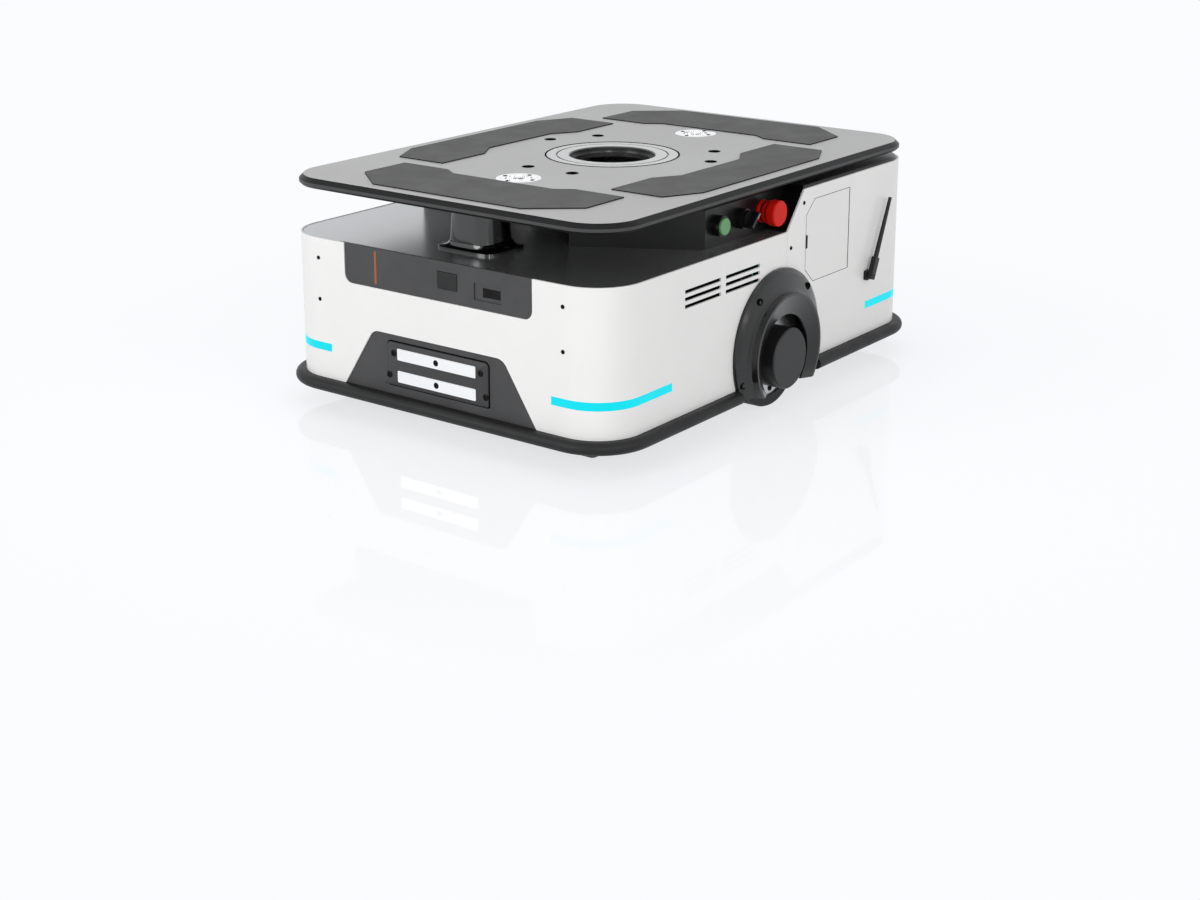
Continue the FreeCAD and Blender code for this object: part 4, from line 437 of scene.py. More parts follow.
def two_ring_wheel(name, core_code, tyre_code, centre, core_radius):
    """Caster wheel: a nylon core inside a rubber tread, split at one radius about its axle."""
    core, tread = linear(core_code), linear(tyre_code)
    material, tree, shader = shader_base(name, tread, 0.6)
    place = grain(tree, shader, 0.002, 0.00003, spread=0.03, rough=(0.5, 0.68))
    flat = add_node(tree, "ShaderNodeVectorMath", {0: place}, operation="MULTIPLY",
                    inputs={1: (1.0, 0.0, 1.0)})
    reach = add_node(tree, "ShaderNodeVectorMath", {0: flat.outputs["Vector"]},
                     operation="DISTANCE", inputs={1: (centre[0], 0.0, centre[2])})
    outside = add_node(tree, "ShaderNodeMath", {0: reach.outputs["Value"]},
                       operation="GREATER_THAN", inputs={1: core_radius})
    mix = add_node(tree, "ShaderNodeMix", {"Factor": outside.outputs["Value"]},
                   data_type="RGBA", inputs={"A": core, "B": tread})
    tree.links.new(mix.outputs["Result"], shader.inputs["Base Color"])
    return material


def clear_glass(name):
    """Coated lens glass."""
    material, tree, shader = shader_base(name, (0.02, 0.025, 0.04, 1.0), 0.03, IOR=1.52,
                                         Coat_Weight=1.0, Coat_Roughness=0.02)
    grain(tree, shader, 0.01, 0.000001, spread=0.01,
          tone=((0.015, 0.02, 0.05, 1.0), (0.04, 0.02, 0.05, 1.0)), rough=(0.02, 0.05))
    return material


def ring_finish(code, top):
    """Turned and anodised ring: grey on its top faces; the dark grey down its bore and its steps is
    painted shade.
    """
    light, dark = linear(code), linear("2E2E2F")
    material, tree, shader = shader_base("anodised_ring_black_bore", light, 0.3,
                                         Coat_Weight=0.5, Coat_Roughness=0.15)
    place = grain(tree, shader, 0.0015, 0.00001, spread=0.05, rough=(0.24, 0.34))
    # Painted shade: every face under the top, down the bore and the steps, takes the dark grey.
    mix = add_node(tree, "ShaderNodeMix", {"Factor": higher_than(tree, place, top - 0.0003)},
                   data_type="RGBA", inputs={"A": dark, "B": light})
    tree.links.new(mix.outputs["Result"], shader.inputs["Base Color"])
    return material


def pad_finish(code, top):
    """Rubber pad: grey on its top face, with painted shade making its cut sides black."""
    pad_grey, side = linear(code), linear("0C0C0C")
    material, tree, shader = shader_base("pad_rubber", pad_grey, 0.7, Specular_IOR_Level=0.3)
    place = grain(tree, shader, 0.0022, 0.00005, detail=5.0, spread=0.05, rough=(0.62, 0.78))
    cloud = add_node(tree, "ShaderNodeTexNoise", {"Vector": place},
                     inputs={"Scale": 1.0 / 0.03, "Detail": 6.0})
    tint = add_node(tree, "ShaderNodeValToRGB", {"Fac": cloud.outputs["Fac"]})
    tint.color_ramp.elements[0].color = shade(pad_grey, 0.93)
    tint.color_ramp.elements[1].color = shade(pad_grey, 1.07)
    # Painted shade: the cut sides under the top face take the near-black.
    mix = add_node(tree, "ShaderNodeMix", {"Factor": higher_than(tree, place, top - 0.0003),
                                           "B": tint.outputs["Color"]},
                   data_type="RGBA", inputs={"A": side})
    tree.links.new(mix.outputs["Result"], shader.inputs["Base Color"])
    return material


def made(maker, *values):
    """A finish, made once and then shared."""
    key = maker.__name__ + repr(values)
    if key not in made.kept:
        made.kept[key] = maker(*values)
    return made.kept[key]


made.kept = {}


def dark_seal_and_gap_shade():
    """Near-black rubber of seals, liners and joints, also used as painted shade in gaps and
    pockets: it shows as a plain dark line.
    """
    return made(moulded_rubber, "seal_rubber", "060606", 0.002, 0.8, 0.05)


def black_steel():
    """Blackened steel of the screw heads: dark, with a faint glint on the edge."""
    return made(moulded_plastic, "blackened_screw_steel", "080809", 0.3, 0.0012, 0.0, 0.12)


def black_moulding():
    """Black moulded plastic of the controls, the latch and the lens holder."""
    return made(moulded_plastic, "operator_black", "111112", 0.3)


def stop_red(colours):
    """Red moulded plastic of the stop button and its sleeve."""
    return made(moulded_plastic, "stop_red", colours.stop, 0.34, 0.004, 0.0, 0.12)


def panel_abs(colours):
    """Dark grey ABS of the front panels, with a fine matt grain."""
    return made(moulded_plastic, "panel_abs", colours.panel, 0.5, 0.0014)


# ------------------------------------------------------------------ surface helpers
def grid_faces(across, along, close_across=True, close_along=False):
    """Corner numbers of the quads of a grid, joined up where it closes on itself."""
    i = np.arange(across if close_across else across - 1)
    j = np.arange(along if close_along else along - 1)
    a, b = np.meshgrid(i, j, indexing="ij")
    a2, b2 = (a + 1) % across, (b + 1) % along
    return np.stack([a * along + b, a2 * along + b, a2 * along + b2, a * along + b2],
                    axis=-1).reshape(-1, 4)


def turned(profile, sides=48, flats=0):
    """A profile of (radius, height) turned about its axis: x = r cos t, y = r sin t, z = h.

    With flats, a radius given as negative is a many-sided socket: r / cos of the angle
    to the middle of the nearest side.
    """
    profile = np.asarray(profile, float)
    angle = np.linspace(0, 2 * math.pi, sides, endpoint=False)[:, None]
    radius = np.broadcast_to(np.abs(profile[:, 0]), (sides, len(profile))).copy()
    if flats:
        wedge = math.pi / flats
        corner = 1.0 / np.cos((angle % (2 * wedge)) - wedge)
        radius = np.where(profile[:, 0] < 0, radius * corner, radius)
    height = np.broadcast_to(profile[:, 1], radius.shape)
    points = np.stack([radius * np.cos(angle), radius * np.sin(angle), height], axis=-1)
    return points.reshape(-1, 3), grid_faces(sides, len(profile))


def carried(section, path, normals, rise):
    """A closed section of (out, up) carried round a closed path: path + out n + up rise."""
    section, path, normals = (np.asarray(v, float) for v in (section, path, normals))
    points = (path[:, None, :] + section[None, :, 0:1] * normals[:, None, :]
              + section[None, :, 1:2] * np.asarray(rise, float))
    return points.reshape(-1, 3), grid_faces(len(path), len(section), True, True)


def plated(rows, path, normals, rise):
    """A flat form with a worked edge: rows of (out, up) round its outline, closed at its middles.

    Each row is path + out n + up rise; the first and last rows shrink to the outline's middle.
    """
    rows, path, normals = (np.asarray(v, float) for v in (rows, path, normals))
    rise = np.asarray(rise, float)
    points = path[:, None, :] + rows[None, :, 0:1] * normals[:, None, :] + rows[None, :, 1:2] * rise
    middle = np.broadcast_to(path.mean(axis=0), (len(path), 3))
    first = (middle + rows[0, 1] * rise)[:, None, :]
    last = (middle + rows[-1, 1] * rise)[:, None, :]
    points = np.concatenate([first, points, last], axis=1)
    return points.reshape(-1, 3), grid_faces(len(path), len(rows) + 2)


def rounded_outline(corners, radii, steps=8):
    """A flat outline of (u, v) corners, each turned by an arc of its own radius, with its normals.

    The arc's middle lies radius / sin(half angle) from the corner on the bisector.
    """
    corners = np.asarray(corners, float)
    spots, outs = [], []
    for i, corner in enumerate(corners):
        before = corners[i - 1] - corner
        after = corners[(i + 1) % len(corners)] - corner
        before, after = before / np.hypot(*before), after / np.hypot(*after)
        bisector = (before + after) / np.hypot(*(before + after))
        half = math.acos(float(np.clip(before @ bisector, -1, 1)))
        middle = corner + bisector * radii[i] / math.sin(half)
        start = np.array([before[1], -before[0]])
        start *= -np.sign(start @ bisector)
        end = np.array([after[1], -after[0]])
        end *= -np.sign(end @ bisector)
        share = np.linspace(0, 1, steps)[:, None]
        out = start * (1 - share) + end * share
        out /= np.hypot(out[:, 0], out[:, 1])[:, None]
        spots.append(middle + out * radii[i])
        outs.append(out)
    return np.concatenate(spots), np.concatenate(outs)


def stood(flat, origin, across, up):
    """A flat (u, v) array placed in space: origin + u across + v up."""
    return (np.asarray(origin, float) + flat[:, 0:1] * np.asarray(across, float)
            + flat[:, 1:2] * np.asarray(up, float))


def column(stations, sides=96):
    """Rounded squares stacked up along Z, from rows of (half x, half y, height, n).

    x = a sign(cos t) |cos t|^(2/n) and y = b sign(sin t) |sin t|^(2/n).
    """
    stations = np.asarray(stations, float)
    angle = np.linspace(0, 2 * math.pi, sides, endpoint=False)[:, None]
    c, s = np.cos(angle), np.sin(angle)
    power = 2.0 / stations[:, 3]
    x = stations[:, 0] * np.sign(c) * np.abs(c) ** power
    y = stations[:, 1] * np.sign(s) * np.abs(s) ** power
    z = np.broadcast_to(stations[:, 2], x.shape)
    return np.stack([x, y, z], axis=-1).reshape(-1, 3), grid_faces(sides, len(stations))


def facing(direction):
    """Turns local Z to a direction."""
    return np.array(Vector(direction).to_track_quat("Z", "Y").to_matrix())


def copies(shape, spots, direction):
    """The same form at several spots, its axis along one direction."""
    points, faces = shape
    turn = facing(direction)
    stack = [points @ turn.T + np.asarray(spot) for spot in spots]
    numbers = [faces + k * len(points) for k in range(len(spots))]
    return np.concatenate(stack), np.concatenate(numbers)


def joined(*shapes):
    """Several forms as one."""
    offsets = np.cumsum([0] + [len(points) for points, _ in shapes])
    return (np.concatenate([points for points, _ in shapes]),
            np.concatenate([faces + offset for (_, faces), offset in zip(shapes, offsets)]))


def piece(name, shape, material, body, smooth=40.0):
    """Puts a form into the scene as a closed piece with outward faces, riding on a body."""
    points, faces = shape
    mesh = bpy.data.meshes.new(name)
    mesh.from_pydata(points.tolist(), [], faces.tolist())
    work = bmesh.new()
    work.from_mesh(mesh)
    bmesh.ops.remove_doubles(work, verts=work.verts, dist=MERGE)
    bmesh.ops.dissolve_degenerate(work, edges=work.edges, dist=1e-7)
    bmesh.ops.holes_fill(work, edges=work.edges, sides=0)
    bmesh.ops.recalc_face_normals(work, faces=work.faces)
    work.to_mesh(mesh)
    work.free()
    obj = bpy.data.objects.new(name, mesh)
    bpy.context.scene.collection.objects.link(obj)
    mesh.materials.append(material)
    mesh.shade_smooth()
    mesh.set_sharp_from_angle(angle=math.radians(smooth))
    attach(obj, body)
    return obj


def finish(nodes, material):
    """Gives CAD nodes one finish."""
    for name in nodes:
        mesh = NODES[name].data
        mesh.materials.clear()
        mesh.materials.append(material)


def centre(node):
    """Middle of a CAD node's box."""
    low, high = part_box(node)
    return (low + high) / 2


def button_screw(radius, height, drive):
    """Profile of a low domed screw head with a hexagon socket."""
    return [(0.0, -0.0006), (radius, -0.0006), (radius, height * 0.25),
            (radius * 0.92, height * 0.62), (radius * 0.72, height * 0.92),
            (radius * 0.58, height), (-drive, height), (-drive, height * 0.15),
            (0.0, height * 0.05)]


# ------------------------------------------------------------------ operators: finishes
class ROBOT_OT_shell(bpy.types.Operator):
    """Finishes the skins, door, bumpers and corner lights."""

    bl_idname = "robot.shell"
    bl_label = "Shell"

    def execute(self, context):
        colours = context.scene.robot_colours
        finish(["front_skin", "rear_skin"], made(satin_white_abs, colours.shell))
        finish(["access_door"], made(satin_white_abs, colours.door))
        finish(["bumpers"], made(moulded_rubber, "bumper_rubber", colours.bumper, 0.003, 0.5))
        finish(["corner_lights"], made(lit_diffuser, "cyan_diffuser", colours.light, 0.95, 0.03))
        finish(["wheel_cover_left", "wheel_cover_right"],
               made(moulded_plastic, "wheel_cover_abs", colours.cover, 0.26, 0.0016, 0.35))
        return {"FINISHED"}


class ROBOT_OT_platform(bpy.types.Operator):
    """Finishes the lifting platform, its ring, flanges, pads, tubes and shafts."""

    bl_idname = "robot.platform"
    bl_label = "Platform"

    def execute(self, context):
        colours = context.scene.robot_colours
        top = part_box("platform")[1].z
        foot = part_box("platform")[0].z
        finish(["platform"],
               made(anodised_plate_dark_rim, colours.plate, colours.edge, top, foot))
        finish(["centre_ring"], ring_finish(colours.plate, top))
        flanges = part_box("locating_flanges")
        reach = flanges[1].x - (flanges[1].y - flanges[0].y) / 2
        finish(["locating_flanges"], made(turned_metal, "polished_flange", "F4F4F4", 0.14, 0.0016,
                                          ((reach, 0.0), (-reach, 0.0))))
        finish(["rubber_pads"], pad_finish(colours.pads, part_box("rubber_pads")[1].z))
        finish(["lift_columns"],
               made(brushed_metal, "ground_shaft_steel", "C9CACC", 0.18, 2))
        return {"FINISHED"}


class ROBOT_OT_front(bpy.types.Operator):
    """Finishes the front panels and their fittings, the deck, the upper cover and the scanner."""

    bl_idname = "robot.front"
    bl_label = "Front and recess"

    def execute(self, context):
        colours = context.scene.robot_colours
        finish(["front_panel", "charge_panel"], panel_abs(colours))
        finish(["contact_plate"], made(moulded_plastic, "contact_plate_acetal", "3A3A3B", 0.42))
        finish(["charge_contacts"],
               made(brushed_metal, "plated_contact_bar", "ECEDEE", 0.36, 1))
        finish(["status_strip"], made(lit_diffuser, "amber_window", colours.stripe, 0.8, 0.02))
        finish(["front_deck"], made(metallic_coat, "deck_metallic_coat", "B4B5B6", 0.22))
        finish(["upper_cover"], made(moulded_plastic, "cover_black_abs", "0D0D0E", 0.3, 0.0016))
        finish(["laser_scanner"], made(glossy_polycarbonate, "scanner_window", "070708", 0.12))
        finish(["socket_flap"], made(moulded_plastic, "flap_abs", "1A1A1B", 0.45))
        finish(["power_rocker"],
               made(moulded_plastic, "rocker_abs", "060607", 0.4, 0.0012, 0.0, 0.15))
        finish(["charging_socket"], made(moulded_plastic, "socket_nylon", "0E0E0F", 0.4))
        return {"FINISHED"}


class ROBOT_OT_controls(bpy.types.Operator):
    """Finishes the three controls, the service bay and the antenna."""

    bl_idname = "robot.controls"
    bl_label = "Controls"

    def execute(self, context):
        colours = context.scene.robot_colours
        finish(["control_collars", "selector_knob", "service_bay"], black_moulding())
        finish(["estop_head"], stop_red(colours))
        finish(["estop_stem"], made(moulded_plastic, "stop_stem_red", "8E120C", 0.35))
        finish(["start_button"],
               made(moulded_plastic, "start_green", colours.start, 0.3, 0.003, 0.2))
        finish(["antenna", "antenna_foot"], made(moulded_plastic, "antenna_tpe", "141415", 0.42))
        return {"FINISHED"}


class ROBOT_OT_running_gear(bpy.types.Operator):
    """Finishes the wheels, casters, tray and drives."""

    bl_idname = "robot.running_gear"
    bl_label = "Running gear"

    def execute(self, context):
        tyre = made(moulded_rubber, "tyre_polyurethane", "1A1A1B", 0.002, 0.6)
        cap = made(moulded_plastic, "hub_cap_abs", "1B1B1C", 0.36, 0.0014)
        for side in ("left", "right"):
            finish(["tyre_" + side], tyre)
            finish(["wheel_hub_" + side], made(brushed_metal, "machined_rim", "B9BABC", 0.3, 1))
            finish(["hub_cap_" + side], cap)
        for name in NODES:
            if name.startswith("caster_wheel"):
                spot = centre(name)
                radius = (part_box(name)[1].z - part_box(name)[0].z) / 2
                finish([name], made(two_ring_wheel, name + "_nylon_rubber", "8A8C8E", "232324",
                                    tuple(round(v, 5) for v in spot), radius * 0.74))
        zinc = made(brushed_metal, "zinc_plated_steel", "B4B6BA", 0.34, 2)
        finish([name for name in NODES if name.startswith("caster_fork")], zinc)
        finish(["caster_plates", "motor_pulley"], zinc)
        finish(["base_tray", "caster_pods", "drive_brackets", "lift_frame"],
               made(moulded_plastic, "black_powder_coat", "1B1C1E", 0.45, 0.003))
        finish(["drive_gearmotors", "lift_motor", "camera"],
               made(brushed_metal, "anodised_motor_case", "4B4C4F", 0.4, 1))
        finish(["lead_screw_left", "lead_screw_right"],
               made(brushed_metal, "rolled_screw_steel", "AEB0B3", 0.25, 0))
        finish(["lift_bearings"], made(brushed_metal, "bearing_bronze", "A98245", 0.35, 2))
        finish(["lift_belt"], made(moulded_rubber, "belt_rubber", "1B1B1B"))
        finish(["battery"], made(moulded_plastic, "battery_case_coat", "2E3134", 0.5, 0.003))
        finish(["controller"], made(brushed_metal, "finned_controller_case", "5A5C60", 0.45, 0))
        return {"FINISHED"}


# ------------------------------------------------------------------ operators: small pieces
class ROBOT_OT_deck_sheet(bpy.types.Operator):
    """Adds the front deck's sheet, flush with the shell's upper edge and on the plain outline."""

    bl_idname = "robot.deck_sheet"
    bl_label = "Deck sheet"

    def execute(self, context):
        mesh = NODES["front_deck"].data.copy()
        mesh.name = "deck_sheet"
        points = np.empty(len(mesh.vertices) * 3)
        mesh.vertices.foreach_get("co", points)
        points[2::3] += context.scene.robot_sizes.deck_lift
        mesh.vertices.foreach_set("co", points)
        work = bmesh.new()
        work.from_mesh(mesh)
        bmesh.ops.remove_doubles(work, verts=work.verts, dist=MERGE)
        work.to_mesh(mesh)
        work.free()
        sheet = bpy.data.objects.new("deck_sheet", mesh)
        context.scene.collection.objects.link(sheet)
        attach(sheet, "base")
        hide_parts("front_deck")
        return {"FINISHED"}


class ROBOT_OT_scanner(bpy.types.Operator):
    """Adds the scanner's glossy column on its flared foot, in place of the plain solids."""

    bl_idname = "robot.scanner"
    bl_label = "Scanner"

    def execute(self, context):
        low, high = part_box("laser_scanner")
        middle, top = (low + high) / 2, high.z
        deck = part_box("front_deck")[1].z + context.scene.robot_sizes.deck_lift
        half_x, half_y = high.x - middle.x, high.y - middle.y
        # Rows: half x, half y, height, squareness. Spigot, foot plate, flare, window, rounded top.
        rows = [(0.0, 0.0, low.z, 2.0), (0.034, 0.034, low.z, 2.0), (0.034, 0.034, deck, 2.0),
                (half_x, half_y, deck, 6.0), (half_x, half_y, deck + 0.0034, 6.0),
                (half_x - 0.0010, half_y - 0.0010, deck + 0.0044, 6.0),
                (0.0440, 0.0530, deck + 0.0050, 5.5), (0.0425, 0.0480, deck + 0.0062, 5.0),
                (0.0414, 0.0445, deck + 0.0085, 4.6), (0.0404, 0.0424, deck + 0.0130, 4.4),
                (0.0395, 0.0408, deck + 0.0134, 4.4), (0.0390, 0.0400, deck + 0.0250, 4.2),
                (0.0378, 0.0384, top - 0.0120, 4.0), (0.0376, 0.0381, top - 0.0022, 4.0),
                (0.0366, 0.0371, top - 0.0006, 4.0), (0.0350, 0.0355, top, 4.0),
                (0.0, 0.0, top, 4.0)]
        points, faces = column(rows)
        points = points + np.array([middle.x, middle.y, 0.0])
        body = piece("scanner_column", (points, faces),
                     made(glossy_polycarbonate, "scanner_window", "070708", 0.12), "base",
                     30.0)
        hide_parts("laser_scanner")
        return {"FINISHED"}


class ROBOT_OT_flanges(bpy.types.Operator):
    """Adds the polished locating flanges, each with a coned mouth, in place of the plain ones."""

    bl_idname = "robot.flanges"
    bl_label = "Locating flanges"

    def execute(self, context):
        low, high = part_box("locating_flanges")
        radius, top = (high.y - low.y) / 2, high.z
        reach = high.x - radius
        bore = FLANGE_BORE
        profile = [(bore, low.z), (radius, low.z), (radius, top - 0.0007), (radius - 0.0007, top),
                   (0.0222, top), (0.0217, top - 0.0005), (0.0215, top - 0.0078),
                   (bore + 0.0014, top - 0.0078), (bore, top - 0.0090), (bore, low.z)]
        form = turned(profile, 96)
        polished = made(turned_metal, "polished_flange", "F4F4F4", 0.14, 0.0016,
                        ((reach, 0.0), (-reach, 0.0)))
        both = piece("flange_pair", copies(form, [(reach, 0, 0), (-reach, 0, 0)], (0, 0, 1)),
                     polished, "lift_platform", 30.0)
        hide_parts("locating_flanges")
        return {"FINISHED"}


class ROBOT_OT_plate_trims(bpy.types.Operator):
    """Adds the dark liners of the payload holes, and a near-black ring in the centre ring's seat
    gap as painted shade.
    """

    bl_idname = "robot.plate_trims"
    bl_label = "Platform trims"

    def execute(self, context):
        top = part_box("platform")[1].z
        sizes = context.scene.robot_sizes
        liner = turned([(0.0090, -0.0140), (0.0090, 0.0001), (0.0106, 0.0001), (0.0104, 0.0005),
                        (0.0084, 0.0005), (0.0080, 0.0001), (0.0080, -0.0140),
                        (0.0090, -0.0140)], 40)
        angles = np.radians([group * PAYLOAD_GROUP_STEP + side for group in range(PAYLOAD_GROUPS)
                             for side in (-PAYLOAD_HALF_PAIR, PAYLOAD_HALF_PAIR)])
        circle = sizes.payload_circle
        spots = [(circle * math.cos(a), circle * math.sin(a), top) for a in angles]
        piece("hole_liners", copies(liner, spots, (0, 0, 1)), dark_seal_and_gap_shade(), "lift_platform")
        # Painted shade: a near-black ring stands in the seat gap round the centre ring, where the
        # dark is only shade.
        outer = (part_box("centre_ring")[1].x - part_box("centre_ring")[0].x) / 2
        seal = turned([(outer - 0.0009, top - 0.0008), (outer + 0.0021, top - 0.0008),
                       (outer + 0.0021, top + 0.0003), (outer + 0.0015, top + 0.0006),
                       (outer - 0.0003, top + 0.0006), (outer - 0.0009, top + 0.0003),
                       (outer - 0.0009, top - 0.0008)], 128)
        piece("ring_seal", seal, dark_seal_and_gap_shade(), "lift_platform")
        return {"FINISHED"}


class ROBOT_OT_contact_back(bpy.types.Operator):
    """Adds the square contact plate, a near-black strip round it as painted shadow in its gap, and
    the filler of its seat.
    """

    bl_idname = "robot.contact_back"
    bl_label = "Contact plate"

    def execute(self, context):
        low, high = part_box("contact_plate")
        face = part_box("charge_panel")[1].x
        sizes = context.scene.robot_sizes
        lap = 0.0080
        foot, top = low.z + lap, high.z - lap
        half = sizes.contact_top_half - 0.0010

        def round_edge(corners, radii):
            """An outline in the panel's plane, with its outward normals."""
            flat, outs = rounded_outline(corners, radii)
            return (stood(flat, (0, 0, 0), (0, 1, 0), (0, 0, 1)),
                    stood(outs, (0, 0, 0), (0, 1, 0), (0, 0, 1)))

        path, normals = round_edge([(-half, foot), (half, foot), (half, top), (-half, top)],
                                   [0.003, 0.003, 0.007, 0.007])
        rows = [(0.0, low.x), (0.0, high.x - 0.0009), (-0.0003, high.x - 0.0003),
                (-0.0009, high.x)]
        plate = piece("contact_back", plated(rows, path, normals, (1, 0, 0)),
                      made(moulded_plastic, "contact_plate_acetal", "3A3A3B", 0.42), "base")
        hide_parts("contact_plate")
        # Painted shadow: a near-black strip stands in the gap round the plate, where the dark is
        # only shade.
        joint = [(-0.0002, face - 0.003), (0.0020, face - 0.003), (0.0020, face + 0.0005),
                 (-0.0002, face + 0.0005)]
        piece("contact_joint", carried(joint, path, normals, (1, 0, 0)),
              dark_seal_and_gap_shade(), "base")
        wide, narrow = sizes.contact_foot_half, sizes.contact_top_half
        path, normals = round_edge([(-wide, foot - 0.0015), (wide, foot - 0.0015),
                                    (narrow, top + 0.0015), (-narrow, top + 0.0015)],
                                   [0.004, 0.004, 0.004, 0.004])
        rows = [(0.0, low.x), (0.0, face + 0.0001), (-0.0002, face + 0.0002)]
        piece("contact_seat", plated(rows, path, normals, (1, 0, 0)),
              panel_abs(context.scene.robot_colours), "base")
        return {"FINISHED"}


class ROBOT_OT_door_seal(bpy.types.Operator):
    """Adds the thin dark seal in the joint round the access door."""

    bl_idname = "robot.door_seal"
    bl_label = "Door seal"

    def execute(self, context):
        low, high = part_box("access_door")
        sizes = context.scene.robot_sizes
        run, rise = sizes.door_chamfer_run, sizes.door_chamfer_rise
        foot, top = low.z + sizes.door_pin, high.z - sizes.door_pin
        corners = [(high.x - run, foot), (high.x, foot + rise), (high.x, top - rise),
                   (high.x - run, top), (low.x, top), (low.x, foot)]
        flat, outs = rounded_outline(corners, [0.001] * len(corners), 4)
        path = stood(flat, (0, high.y, 0), (1, 0, 0), (0, 0, 1))
        normals = stood(outs, (0, 0, 0), (1, 0, 0), (0, 0, 1))
        section = [(0.0001, -0.0020), (0.0009, -0.0020), (0.0009, 0.0001), (0.0001, 0.0001)]
        seal = carried(section, path, normals, (0, 1, 0))
        piece("door_seal", seal, dark_seal_and_gap_shade(), "base")
        return {"FINISHED"}


class ROBOT_OT_cover_screws(bpy.types.Operator):
    """Adds the screws that hold each wheel cover at its edge, each with a near-black cup as painted
    shade of its pocket.
    """

    bl_idname = "robot.cover_screws"
    bl_label = "Cover screws"

    def execute(self, context):
        # The heads are screws; the black cups round them are painted shade of the pockets.
        head = turned(COVER_SCREW_PROFILE, 36, 6)
        for side, sign in (("left", 1), ("right", -1)):
            spots = [(x, sign * y, z) for x, y, z in COVER_SCREW_SPOTS]
            piece("cover_screws_" + side, copies(head, spots, (0, sign, 0)), dark_seal_and_gap_shade(), "base")
        return {"FINISHED"}


class ROBOT_OT_shell_screws(bpy.types.Operator):
    """Adds the button-head screws of the skins."""

    bl_idname = "robot.shell_screws"
    bl_label = "Shell screws"

    def execute(self, context):
        sizes = context.scene.robot_sizes
        radius = sizes.screw_radius
        head = turned(button_screw(radius, radius * 0.42, radius * 0.5), 36, 6)
        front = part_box("front_skin")[1].x
        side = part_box("front_skin")[1].y
        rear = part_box("rear_skin")[0].x
        offset, high, low = sizes.front_screw_side, sizes.front_screw_high, sizes.front_screw_low
        front_spots = [(front, y, z) for y in (-offset, offset) for z in (high, low)]
        forms = [copies(head, front_spots, (1, 0, 0))]
        for sign in (1, -1):
            spots = [(x, sign * side, z) for x, z in SIDE_SCREW_SPOTS]
            forms.append(copies(head, spots, (0, sign, 0)))
        back_spots = [(rear, y, z) for y in (-offset, offset)
                      for z in (high + BACK_SCREW_RISE, low)]
        forms.append(copies(head, back_spots, (-1, 0, 0)))
        piece("shell_screws", joined(*forms), black_steel(), "base")
        return {"FINISHED"}


class ROBOT_OT_platform_screws(bpy.types.Operator):
    """Adds the socket screws of the locating flanges."""

    bl_idname = "robot.platform_screws"
    bl_label = "Platform screws"

    def execute(self, context):
        low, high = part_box("locating_flanges")
        radius = (high.y - low.y) / 2
        reach = high.x - radius
        circle = context.scene.robot_sizes.flange_screw_circle
        angles = np.arange(FLANGE_SCREWS) * 2 * math.pi / FLANGE_SCREWS
        spots = [(sign * reach + circle * math.cos(a), circle * math.sin(a), high.z)
                 for sign in (1, -1) for a in angles]
        head = turned(button_screw(FLANGE_SCREW_RADIUS, 0.0006, FLANGE_SCREW_RADIUS / 2), 30, 6)
        piece("flange_screws", copies(head, spots, (0, 0, 1)), black_steel(), "lift_platform")
        return {"FINISHED"}


class ROBOT_OT_contact_screws(bpy.types.Operator):
    """Adds the screws of the contact plate and of the charging bars."""

    bl_idname = "robot.contact_screws"
    bl_label = "Contact screws"

    def execute(self, context):
        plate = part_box("contact_plate")[1].x
        low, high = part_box("charge_contacts")
        bar = (high.z - low.z) * BAR_SHARE
        tops = (high.z - bar / 2, low.z + bar / 2)
        outer = turned(button_screw(0.0056, 0.0012, 0.0030), 36, 6)
        inner = turned(button_screw(0.0054, 0.0012, 0.0028), 36, 6)
        corners = [(plate, sign * reach, z) for sign in (1, -1)
                   for z, reach in zip(tops, CONTACT_SCREW_REACHES)]
        middles = [(high.x - 0.0006, 0.0, z) for z in tops]
        piece("contact_screws", joined(copies(outer, corners, (1, 0, 0)),
                                       copies(inner, middles, (1, 0, 0))),
              black_steel(), "base")
        return {"FINISHED"}


class ROBOT_OT_stop_sleeve(bpy.types.Operator):
    """Adds the red ribbed sleeve between the stop button's collar and its head."""

    bl_idname = "robot.stop_sleeve"
    bl_label = "Stop sleeve"

    def execute(self, context):
        spot = Vector(JOINTS["estop_release_twist"]["pos_m"])
        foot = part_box("control_collars")[1].y - 0.012
        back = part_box("estop_head")[0].y
        length = back - foot - 0.0063
        steps = np.linspace(0, 1, SLEEVE_ROWS)
        ribs = SLEEVE_RADIUS + SLEEVE_RIB * np.abs(np.cos(steps * math.pi))
        profile = [(float(r), float(s) * length) for r, s in zip(ribs, steps)]
        profile += [(0.0170, length + 0.0002), (0.0093, length + 0.0002), (0.0093, length - 0.003),
                    (0.0184, length - 0.004)]
        shape = turned(profile, SLEEVE_SIDES)
        red = stop_red(context.scene.robot_colours)
        piece("stop_sleeve", copies(shape, [(spot.x, foot, spot.z)], (0, 1, 0)), red,
              "base")
        return {"FINISHED"}


